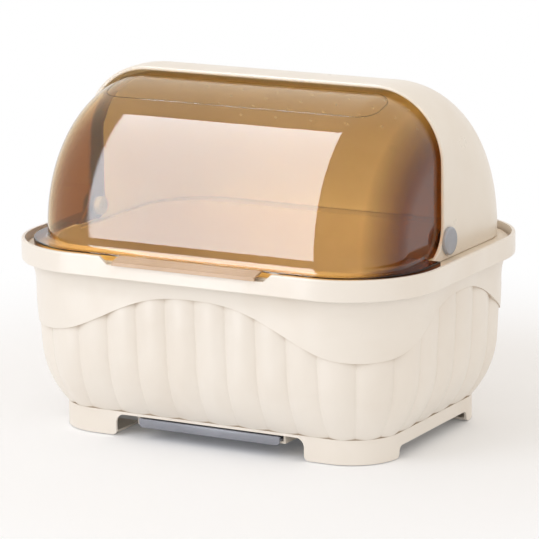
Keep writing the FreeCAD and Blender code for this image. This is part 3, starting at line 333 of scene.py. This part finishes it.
plate_y, plate_thickness = -0.1286, 0.002
plate_half, plate_low, plate_high = 80.5, 12.5, 21.6
corners = ((-plate_half, plate_high), (-plate_half, plate_low), (plate_half, plate_low),
           (plate_half, plate_high))
plate = [shape.verts.new((x / 1000, plate_y, z / 1000)) for x, z in corners]
shape.faces.new(plate)
bevel(shape, plate[1:3], 0.005, segments=6, affect="VERTICES", clamp=False)
face = [f for f in shape.faces if all(abs(v.co.y - plate_y) < 1e-6 for v in f.verts)]
back = bmesh.ops.extrude_face_region(shape, geom=face)
bmesh.ops.translate(shape, verts=new_verts(back), vec=(0, plate_thickness, 0))
rim = [edge for edge in shape.edges if all(abs(v.co.y - plate_y) < 1e-6 for v in edge.verts)]
bevel(shape, rim, edge_round)
settle(shape)
make_piece("drip_tray_ribbed", shape, tray_polypropylene, "drip_tray", "grey_plastic",
           "drip_tray")


# Drain basket. A thinner liner moulded in the same cream polypropylene and dropped into the tub,
# where it hangs on the gutter by its flange. Its tone is set a touch deeper than the tub's, as
# painted shade.
basket_polypropylene = moulded("cream_polypropylene_thin_liner", "#EFE3D2", "#E8DAC6",
                               80, 2.0, 0.38)
finish_node("drain_basket", basket_polypropylene)


# Plate rack and bowl rack. Loose one-piece mouldings in pale satin polypropylene that stand in the
# basket. Every bar has soft edges; fingers and pegs narrow to rounded tips, as they leave a mould.
rack_polypropylene = moulded("pale_polypropylene_rack", "#EEE4D4", "#E6DAC8", 60, 1.8, 0.42)
rack_base, rack_top = 44.8, 49.8
bar_round = 1.0
plate_rack_x, bowl_rack_x = 86, -86


def rack_frame(shape, middle):
    """Four bars round a rack; the cross bars end inside the long ones, so no two share a corner."""
    for low, high in (((-82, -92), (-75, 92)), ((75, -92), (82, 92)),
                      ((-79, -92), (79, -85)), ((-79, 85), (79, 92))):
        block(shape, (middle + low[0], low[1], rack_base), (middle + high[0], high[1], rack_top),
              bar_round)


fingers, finger_pitch, finger_half, finger_top = 12, 13.5, 1.7, 112.8
row_half = 5
shape = bmesh.new()
rack_frame(shape, plate_rack_x)
for row in (-56, 56):
    block(shape, (5, row - row_half, rack_base), (167, row + row_half, rack_top), bar_round)
    for count in range(fingers):
        x = plate_rack_x + finger_pitch * (count - (fingers - 1) / 2)
        block(shape, (x - finger_half, row - row_half, rack_top - 1),
              (x + finger_half, row + row_half, finger_top), 1.1, tip=0.86)
settle(shape)
make_piece("plate_rack_fingers", shape, rack_polypropylene, "drain_basket", "rack_plastic",
           "plate_rack")

bars, bar_pitch, bar_half = 7, 19.625, 2.5
shape = bmesh.new()
rack_frame(shape, bowl_rack_x)
for count in range(bars):
    x = bowl_rack_x + bar_pitch * (count - (bars - 1) // 2)
    block(shape, (x - bar_half, -91, rack_base), (x + bar_half, 91, rack_top), bar_round)
settle(shape)
peg_pitch_x, peg_pitch_y = 58.875, 60
peg_section = [(0, 49.0), (4.4, 49.0), (4.4, 49.8), (4.0, 50.6), (3.7, 84.0), (3.2, 85.8),
               (1.8, 86.7), (0, 86.8)]
for column in (-1, 0, 1):
    for row in (-1, 0, 1):
        add_turned(shape, peg_section, bowl_rack_x + peg_pitch_x * column, peg_pitch_y * row)
make_piece("bowl_rack_pegs", shape, rack_polypropylene, "drain_basket", "rack_plastic",
           "bowl_rack")


# Hood. The rear half of the cover, one cream polypropylene moulding, a little glossier than the
# tub. It has a thick rounded front edge that curves forward into a toe at each side, rows of vent
# holes left by pins in the mould, and a pivot hole in each side.
def arch_sheet(axis, half, radius, corner, rows, first, last):
    """The cover's arch, spun about its axis: first and last give the angle of each ring's ends."""
    shape = bmesh.new()
    inner = radius - corner
    spin = math.radians(100)
    points = ((-half, inner), (-half, radius), (half, radius), (half, inner))
    verts = [shape.verts.new((x, axis.y + r, axis.z)) for x, r in points]
    for pair in zip(verts, verts[1:]):
        shape.edges.new(pair)
    bevel(shape, verts[1:3], corner, segments=18, affect="VERTICES", clamp=False)
    bmesh.ops.remove_doubles(shape, verts=shape.verts[:], dist=1e-5)
    bmesh.ops.spin(shape, geom=shape.verts[:] + shape.edges[:], cent=axis, axis=(1, 0, 0),
                   dvec=(0, 0, 0), angle=spin, steps=rows, use_merge=False, use_duplicate=False)
    for vert in shape.verts:
        y, z = vert.co.y - axis.y, vert.co.z - axis.z
        r = math.hypot(y, z)
        share = math.atan2(z, y) / spin
        angle = first(r) + share * (last(r) - first(r))
        vert.co.y = axis.y + r * math.cos(angle)
        vert.co.z = axis.z + r * math.sin(angle)
    return shape


def face_out(shape):
    """Turns an open shell's faces outwards, as told by its crown."""
    bmesh.ops.recalc_face_normals(shape, faces=shape.faces[:])
    if max(shape.faces, key=lambda face: face.calc_center_median().z).normal.z < 0:
        bmesh.ops.reverse_faces(shape, faces=shape.faces[:])


def close_sides(shape, axis, half, inner, outline_mm):
    """Fills each flat side between its first ring and an outline of (Y, Z) points, in mm."""
    def turn_of(vert):
        turn = math.atan2(vert.co.z - axis.z, vert.co.y - axis.y)
        return turn % math.tau if vert.co.y < axis.y else turn

    for way in (-1, 1):
        ring = [vert for vert in shape.verts if abs(vert.co.x - way * half) < 1e-5
                and abs(math.hypot(vert.co.y - axis.y, vert.co.z - axis.z) - inner) < 1e-5]
        ring.sort(key=turn_of)
        more = [shape.verts.new((way * half, y / 1000, z / 1000)) for y, z in outline_mm]
        shape.faces.new(ring + more)
    face_out(shape)


def thicken(made, thickness, round_width):
    """Gives a shell its wall, inwards, and rounds its edges."""
    wall = made.modifiers.new("wall", "SOLIDIFY")
    wall.thickness = thickness
    wall.offset = -1
    wall.use_even_offset = True
    if round_width:
        edge = made.modifiers.new("edge", "BEVEL")
        edge.width = round_width
        edge.segments = 3
        edge.limit_method = "ANGLE"
        edge.angle_limit = math.radians(50)
    keep_mesh(made)


def add_rod(shape, radius, length, matrix, segments=48):
    """Adds a round rod about its own middle, as a boss or to cut a hole with."""
    bmesh.ops.create_cone(shape, cap_ends=True, segments=segments, radius1=radius, radius2=radius,
                          depth=length, matrix=matrix)


arch_rows = 110
hood_axis = Vector((0, 0.0013, 0.1965))
hood_half, hood_radius, hood_corner, hood_inner = 0.2056, 0.1632, 0.0748, 0.0884
hood_wall, hood_edge = 0.004, 0.0014
hood_foot_drop, hood_reach = 0.0074, 0.0167
toe_y, toe_z, toe_round = -46.5, 223.1, 31.1
toe = [(toe_y + toe_round * math.cos(a), toe_z - toe_round * math.sin(a))
       for a in map(math.radians, (0, 8, 17, 26, 35, 44, 53, 62, 70, 78, 85.4))]
shape = arch_sheet(hood_axis, hood_half, hood_radius, hood_corner, arch_rows,
                   lambda r: -math.asin(hood_foot_drop / r),
                   lambda r: math.pi / 2 + math.asin(hood_reach / r))
close_sides(shape, hood_axis, hood_half, hood_inner, toe + [(-44, 189.1)])
hood_polypropylene = moulded("cream_polypropylene_hood", "#F4EEE4", "#EFE7DB",
                             130, 2.2, 0.32, grain=0.02)
hood = make_piece("hood_shell", shape, hood_polypropylene, "hood", "cream_plastic", "hood")
thicken(hood, hood_wall, hood_edge)

vent_rows = ((35, 6), (40.67, 7), (46.34, 6), (52.01, 7))
vent_pitch, vent_middle, vent_radius, vent_length = 0.0415, 0.1612, 0.0017, 0.012
holes = bmesh.new()
for angle, count in vent_rows:
    out = math.radians(angle)
    for k in range(count):
        place = hood_axis + Vector(((k - (count - 1) / 2) * vent_pitch,
                                    vent_middle * math.cos(out), vent_middle * math.sin(out)))
        add_rod(holes, vent_radius, vent_length, Matrix.Translation(place)
                @ Matrix.Rotation(out - math.pi / 2, 4, "X"), segments=20)
pivot = Vector((0, -0.0066, 0.2072))
along_x = Matrix.Rotation(math.pi / 2, 4, "Y")
bore_radius, bore_length = 0.00505, 0.43
add_rod(holes, bore_radius, bore_length, Matrix.Translation(pivot) @ along_x)
carve(hood, "DIFFERENCE", holes)
hood.modifiers.new("even_shading", "WEIGHTED_NORMAL").keep_sharp = True


# Visor. The front half of the cover, moulded in amber clear styrene acrylonitrile in a polished
# mould, with a turned-down flange round its foot, a ribbed pull tab and a fine line round the oval
# panel at its top. It shows what is behind it in warm brown and mirrors the studio's light.
def amber_clear(name, light, deep, edge_and_side_shade_tone, lamp_tint):
    """A tinted clear plastic with flow lines, nearly even polish, long slow waves and painted side
    shade.
    """
    flow_mm, polish_mm, wave_mm = 90, 30, 80
    side_shade_from, side_shade_full = 0.174, 0.198
    material = bpy.data.materials.new(name)
    material.use_nodes = True
    tree = material.node_tree
    surface = tree.nodes["Principled BSDF"]
    place = add(tree, "ShaderNodeTexCoord").outputs["Object"]
    # slight flow lines in the tint, and a longer way through the wall where it is seen edge on
    flow = add(tree, "ShaderNodeTexNoise", {"Vector": place, "Scale": per_metre(flow_mm),
                                            "Detail": 3.0, "Distortion": 0.8})
    tint = add(tree, "ShaderNodeValToRGB", {"Fac": flow.outputs["Fac"]})
    tint.color_ramp.elements[0].position = 0.3
    tint.color_ramp.elements[0].color = linear(deep)
    tint.color_ramp.elements[1].position = 0.7
    tint.color_ramp.elements[1].color = linear(light)
    facing = add(tree, "ShaderNodeLayerWeight", {"Blend": 0.5})
    edge = add(tree, "ShaderNodeMapRange", {"Value": facing.outputs["Facing"], "From Min": 0.66,
                                            "From Max": 0.9, "To Min": 0.0, "To Max": 0.85})
    # painted shade: the side walls are as thin as the front, and a darker tint painted on them
    # matches how dark they look
    across = add(tree, "ShaderNodeSeparateXYZ", {"Vector": place})
    aside = add(tree, "ShaderNodeMath", {0: across.outputs["X"]}, operation="ABSOLUTE")
    painted_side_shade = add(tree, "ShaderNodeMapRange", {"Value": aside.outputs[0], "From Min": side_shade_from,
                                              "From Max": side_shade_full, "To Min": 0.0,
                                              "To Max": 1.0})
    most = add(tree, "ShaderNodeMath", {0: edge.outputs["Result"], 1: painted_side_shade.outputs["Result"]},
               operation="MAXIMUM")
    colour = add(tree, "ShaderNodeMix", {"Factor": most.outputs[0], "A": tint.outputs["Color"],
                                         "B": linear(edge_and_side_shade_tone)}, data_type="RGBA")
    polish = add(tree, "ShaderNodeTexNoise", {"Vector": place, "Scale": per_metre(polish_mm),
                                              "Detail": 4.0})
    polish_range = add(tree, "ShaderNodeMapRange", {"Value": polish.outputs["Fac"],
                                                    "To Min": 0.01, "To Max": 0.04})
    waves = add(tree, "ShaderNodeTexNoise", {"Vector": place, "Scale": per_metre(wave_mm),
                                             "Detail": 1.0})
    wave_bump = add(tree, "ShaderNodeBump", {"Height": waves.outputs["Fac"], "Strength": 0.06,
                                             "Distance": 0.001})
    tree.links.new(colour.outputs["Result"], surface.inputs["Base Color"])
    tree.links.new(polish_range.outputs["Result"], surface.inputs["Roughness"])
    tree.links.new(wave_bump.outputs["Normal"], surface.inputs["Normal"])
    surface.inputs["Transmission Weight"].default_value = 1.0
    # below the 1.57 that is typical of this plastic
    surface.inputs["IOR"].default_value = 1.49
    # weaker than the plastic's own gloss, so that the white room doesn't veil the deep tones
    surface.inputs["Specular IOR Level"].default_value = 0.2
    # lamps shine through the clear wall, as in a studio, instead of being stopped by it
    clear = add(tree, "ShaderNodeBsdfTransparent", {"Color": linear(lamp_tint)})
    shadow = add(tree, "ShaderNodeLightPath").outputs["Is Shadow Ray"]
    both = add(tree, "ShaderNodeMixShader", {0: shadow, 1: surface.outputs[0],
                                             2: clear.outputs[0]})
    tree.links.new(both.outputs[0], tree.nodes["Material Output"].inputs["Surface"])
    return material


flange_corner_x, flange_corner_y, flange_round = 0.135, 0.0766, 0.0825


def outline_gap(point):
    """How far a point lies outside the flange's outline, seen from above."""
    x, y = abs(point.x) - flange_corner_x, abs(point.y) - flange_corner_y
    return math.hypot(max(x, 0), max(y, 0)) + min(max(x, y), 0) - flange_round


visor_half, visor_radius, visor_corner, visor_inner = 0.1996, 0.1442, 0.0688, 0.0754
visor_wall, visor_tail = 0.0022, 0.0136
fillet = 0.004
flange_top, flange_foot = 0.1956, 0.1891
foot_drop = pivot.z - flange_top - fillet
shape = arch_sheet(pivot, visor_half, visor_radius, visor_corner, arch_rows,
                   lambda r: math.acos(visor_tail / r),
                   lambda r: math.pi + math.asin(foot_drop / r))
pivot_y_mm, pivot_z_mm, ear_round = -6.6, 207.2, 14.5
ear = [(pivot_y_mm + ear_round * math.cos(math.radians(a)),
        pivot_z_mm + ear_round * math.sin(math.radians(a))) for a in range(-110, -19, 9)]
foot_mm = (flange_top + fillet) * 1000
close_sides(shape, pivot, visor_half, visor_inner,
            [(-48, foot_mm), (-48, 193.6)] + ear + [(7.0, pivot_z_mm)])

# the flange grows out of the wall's foot: a fillet, a flat ring to its outline, then a lip down
flange_starts = -0.0479
edges = [edge for edge in shape.edges if edge.is_boundary
         and all(abs(vert.co.z - foot_mm / 1000) < 1e-5 and vert.co.y < flange_starts
                 for vert in edge.verts)]
foot = {}
for vert in {vert for edge in edges for vert in edge.verts}:
    out = Vector((0, 0, 0))
    for edge in edges:
        if vert in edge.verts:
            along = edge.verts[1].co - edge.verts[0].co
            side = Vector((along.y, -along.x, 0)).normalized()
            out += side if side.dot(vert.co - pivot) > 0 else -side
    out.normalize()
    reach = 0
    for _ in range(8):
        reach -= outline_gap(vert.co + out * reach)
    foot[vert] = (vert.co.copy(), out, reach)
steps = [("wall", fillet * (1 - math.cos(a)), fillet * math.sin(a))
         for a in map(math.radians, (20, 45, 70, 90))]
steps += [("rim", 0.001, fillet), ("rim", 0.0003, fillet + 0.0003), ("rim", 0, fillet + 0.001),
          ("rim", 0, flange_top + fillet - flange_foot)]
for start, back, down in steps:
    where = {tuple(vert.co): facts for vert, facts in foot.items()}
    grown = bmesh.ops.extrude_edge_only(shape, edges=edges)["geom"]
    edges = [item for item in grown if isinstance(item, bmesh.types.BMEdge)]
    foot = {vert: where[tuple(vert.co)] for vert in new_verts({"geom": grown})}
    for vert, (root, out, reach) in foot.items():
        vert.co = root + out * (back if start == "wall" else reach - back) - Vector((0, 0, down))
face_out(shape)
amber = amber_clear("amber_styrene_acrylonitrile_polished", "#FFE2A6", "#FADA98", "#7E4518",
                    "#FBF1DE")
visor = make_piece("visor_shell", shape, amber, "visor", "amber_clear_plastic", "visor")
thicken(visor, visor_wall, 0)

boss_x, boss_radius, boss_length = 0.2002, 0.012, 0.0022
tab_half = 0.08
tab = [(-157.4, 195.4), (-160.0, 195.2), (-162.4, 194.7), (-163.0, 195.2), (-163.7, 194.4),
       (-166.4, 193.8), (-167.0, 194.3), (-167.7, 193.5), (-170.4, 192.9), (-171.0, 193.4),
       (-171.7, 192.6), (-174.2, 192.1), (-174.9, 191.6), (-175.0, 188.0), (-173.0, 188.0),
       (-173.0, 190.1), (-158.4, 193.5)]
more = bmesh.new()
for way in (-1, 1):
    add_rod(more, boss_radius, boss_length,
            Matrix.Translation(pivot + Vector((way * boss_x, 0, 0))) @ along_x)
section = [more.verts.new((-tab_half, y / 1000, z / 1000)) for y, z in tab]
end = bmesh.ops.extrude_face_region(more, geom=[more.faces.new(section)])
bmesh.ops.translate(more, verts=new_verts(end), vec=(2 * tab_half, 0, 0))
bmesh.ops.recalc_face_normals(more, faces=more.faces[:])
carve(visor, "UNION", more)

# the oval panel's line is laid out flat, square on to the panel's middle, then set on the arch
panel_x, panel_s, panel_round, panel_step = 132, 5, 22, 6
panel_angle = 74.1
line_radius = 0.0005
line = bpy.data.curves.new("panel_line", "CURVE")
line.dimensions = "3D"
line.bevel_depth = line_radius
line.bevel_resolution = 2
oval = []
for quarter, (way_x, way_s) in enumerate(((1, 1), (-1, 1), (-1, -1), (1, -1))):
    for k in range(13):
        turn = math.radians(90 * quarter + 7.5 * k)
        oval.append((way_x * panel_x + panel_round * math.cos(turn),
                     way_s * panel_s + panel_round * math.sin(turn)))
run = []
for (x0, s0), (x1, s1) in zip(oval, oval[1:] + oval[:1]):
    parts = max(1, round(math.hypot(x1 - x0, s1 - s0) / panel_step))
    run += [(x0 + (x1 - x0) * k / parts, s0 + (s1 - s0) * k / parts) for k in range(parts)]
spline = line.splines.new("POLY")
spline.points.add(len(run) - 1)
spline.use_cyclic_u = True
inner_mm, corner_mm, corner_from = 75.4, 68.8, 130.8
for point, (x, s) in zip(spline.points, run):
    past = max(abs(x) - corner_from, 0)
    r = inner_mm + math.sqrt(corner_mm ** 2 - past ** 2)
    angle = math.radians(180 - panel_angle) - math.asin(s / r)
    point.co = (x / 1000, pivot.y + r * math.cos(angle) / 1000,
                pivot.z + r * math.sin(angle) / 1000, 1)
line_object = bpy.data.objects.new("panel_line", line)
bpy.context.collection.objects.link(line_object)
state = bpy.context.evaluated_depsgraph_get()
groove_mesh = bpy.data.meshes.new_from_object(line_object.evaluated_get(state), depsgraph=state)
bpy.data.objects.remove(line_object)
cuts = bmesh.new()
cuts.from_mesh(groove_mesh)
settle(cuts)
add_rod(cuts, bore_radius, bore_length, Matrix.Translation(pivot) @ along_x)
carve(visor, "DIFFERENCE", cuts)

# the pull tab comes from a spark-eroded patch of the mould, which leaves it frosted and milky
tab_starts = -0.1594
frosted = moulded("amber_styrene_acrylonitrile_frosted", "#C8A888", "#BD9C7A",
                  60, 1.2, 0.38, grain=0.1)
visor.data.materials.append(frosted)
for face in visor.data.polygons:
    if face.center.y < tab_starts:
        face.material_index = 1
visor.modifiers.new("even_shading", "WEIGHTED_NORMAL").keep_sharp = True


# Pivot pins and their caps. Round buttons moulded in grey ABS, which a fine grain makes softly
# satin. The pins go in from outside through hood and visor, and the caps snap on inside.
grey_abs = moulded("grey_abs_fine_satin", "#ABB0BA", "#A2A6B0", 40, 1.4, 0.40, grain=0.08)
pin_section = [(0, 191.9), (4.2, 191.9), (5, 192.7), (5, 205.9), (13.7, 205.9), (14, 206.2),
               (14, 208.0), (13.7, 208.7), (12.9, 209.3), (12.2, 209.4), (11.9, 209.2),
               (0, 209.2)]
cap_section = [(0, 189.9), (3.4, 189.9), (3.8, 190.4), (5.2, 190.4), (5.6, 189.9), (8.0, 189.9),
               (9.1, 190.4), (9.5, 191.4), (9.5, 196.9), (5.05, 196.9), (5.05, 191.6),
               (0, 191.6)]
for side, way in (("left", -1), ("right", 1)):
    for kind, points in (("pivot_pin_", pin_section), ("pivot_retainer_", cap_section)):
        shape = spun(points, pivot, (way, 0, 0), (0, 1, 0))
        settle(shape)
        make_piece(kind + side + "_turned", shape, grey_abs, "hood", "grey_plastic", kind + side)


# Studio. A sheet of white paper that keeps the soft shadow and fades out to white, an even white
# room, and one broad soft lamp at the front left. A bent strip of light shows in reflections
# alone, as the tall pale sheet in the visor.
def seen_rays(tree):
    """1 where the camera looks, straight or by a reflection or through something clear."""
    rays = add(tree, "ShaderNodeLightPath").outputs
    first = add(tree, "ShaderNodeMath", {0: rays["Is Camera Ray"], 1: rays["Is Transmission Ray"]},
                operation="MAXIMUM")
    return add(tree, "ShaderNodeMath", {0: first.outputs[0], 1: rays["Is Glossy Ray"]},
               operation="MAXIMUM").outputs[0]


world = bpy.data.worlds.new("studio_room")
bpy.context.scene.world = world
world.use_nodes = True
tree = world.node_tree
tree.nodes.clear()
room_light = add(tree, "ShaderNodeBackground", {"Color": linear("#FFF7EE"), "Strength": 0.87})
room_seen = add(tree, "ShaderNodeBackground", {"Color": linear("#FFFFFF"), "Strength": 1.0})
mixed = add(tree, "ShaderNodeMixShader", {0: seen_rays(tree), 1: room_light.outputs[0],
                                          2: room_seen.outputs[0]})
add(tree, "ShaderNodeOutputWorld", {"Surface": mixed.outputs[0]})

floor_half = 8
fade_from, fade_to = 0.34, 0.78
paper_lift = 0.07
shape = bmesh.new()
bmesh.ops.create_grid(shape, x_segments=1, y_segments=1, size=floor_half)
floor_mesh = bpy.data.meshes.new("floor")
shape.to_mesh(floor_mesh)
shape.free()
floor = bpy.data.objects.new("floor", floor_mesh)
bpy.context.collection.objects.link(floor)
floor_paper = bpy.data.materials.new("white_studio_paper")
floor_paper.use_nodes = True
tree = floor_paper.node_tree
surface = tree.nodes["Principled BSDF"]
surface.inputs["Base Color"].default_value = linear("#F7FAFE")
surface.inputs["Roughness"].default_value = 0.9
surface.inputs["Specular IOR Level"].default_value = 0.1
surface.inputs["Emission Color"].default_value = linear("#FFFFFF")
lift = add(tree, "ShaderNodeMath", {0: seen_rays(tree), 1: paper_lift}, operation="MULTIPLY")
tree.links.new(lift.outputs[0], surface.inputs["Emission Strength"])
place = add(tree, "ShaderNodeTexCoord").outputs["Object"]
away = add(tree, "ShaderNodeVectorMath", {0: place}, operation="LENGTH")
far = add(tree, "ShaderNodeMapRange", {"Value": away.outputs["Value"], "From Min": fade_from,
                                       "From Max": fade_to, "To Min": 0.0, "To Max": 1.0},
          interpolation_type="SMOOTHSTEP")
white = add(tree, "ShaderNodeMath", {0: far.outputs["Result"], 1: seen_rays(tree)},
            operation="MULTIPLY")
paper_white = add(tree, "ShaderNodeEmission", {"Color": linear("#FFFFFF"), "Strength": 1.0})
mixed = add(tree, "ShaderNodeMixShader", {0: white.outputs[0], 1: surface.outputs[0],
                                          2: paper_white.outputs[0]})
tree.links.new(mixed.outputs[0], tree.nodes["Material Output"].inputs["Surface"])
floor_mesh.materials.append(floor_paper)

key_light = bpy.data.lights.new("key_panel", "AREA")
key_light.shape = "RECTANGLE"
key_light.size, key_light.size_y = 1.8, 1.8
key_light.energy = 18.5
key_light.color = linear("#EEF4FF")[:3]
key = bpy.data.objects.new("key_panel", key_light)
bpy.context.collection.objects.link(key)
key.location = (-1.25, -2.3, 1.9)
key.rotation_euler = Vector((1.25, 2.3, -1.75)).to_track_quat("-Z", "Y").to_euler()
key.visible_glossy = False
key.visible_transmission = False

# bent about the visor's own axis; its edges give the pale sheet in the polish its shape
strip_radius, strip_turn = 1.0, 101.5
strip_left, strip_right = -0.64, -0.268
shape = bmesh.new()
ends = [shape.verts.new(pivot + Vector((x, 0, strip_radius))) for x in (strip_left, strip_right)]
strip_edge = shape.edges.new(ends)
bmesh.ops.spin(shape, geom=ends + [strip_edge], cent=pivot, axis=(1, 0, 0), dvec=(0, 0, 0),
               angle=math.radians(strip_turn), steps=40, use_merge=False, use_duplicate=False)
strip_mesh = bpy.data.meshes.new("light_strip")
shape.to_mesh(strip_mesh)
shape.free()
strip = bpy.data.objects.new("light_strip", strip_mesh)
bpy.context.collection.objects.link(strip)
for unseen in ("visible_camera", "visible_diffuse", "visible_transmission", "visible_shadow"):
    setattr(strip, unseen, False)
strip_light = bpy.data.materials.new("lamp_diffuser")
strip_light.use_nodes = True
tree = strip_light.node_tree
tree.nodes.clear()
glow = add(tree, "ShaderNodeEmission", {"Color": linear("#F2F7FF"), "Strength": 11.8})
add(tree, "ShaderNodeOutputMaterial", {"Surface": glow.outputs[0]})
strip_mesh.materials.append(strip_light)


# Camera, at the photograph's viewing angle: a long lens, turned 29 degrees to the right of the
# front and looking down a little.
camera_data = bpy.data.cameras.new("camera")
camera_data.sensor_width = 36.0
camera_data.lens = 240.1
camera = bpy.data.objects.new("camera", camera_data)
bpy.context.collection.objects.link(camera)
azimuth, elevation, roll = math.radians(28.929), math.radians(12.667), math.radians(-0.674)
distance = 3.651
target = Vector((0.00065, 0, 0.1567))
away = Vector((math.sin(azimuth) * math.cos(elevation), -math.cos(azimuth) * math.cos(elevation),
               math.sin(elevation)))
camera.location = target + away * distance
turn = (-away).to_track_quat("-Z", "Y").to_matrix().to_4x4()
camera.matrix_world = (Matrix.Translation(camera.location) @ turn
                       @ Matrix.Rotation(roll, 4, "Z"))
bpy.context.scene.camera = camera
bpy.context.scene.view_settings.view_transform = "Standard"
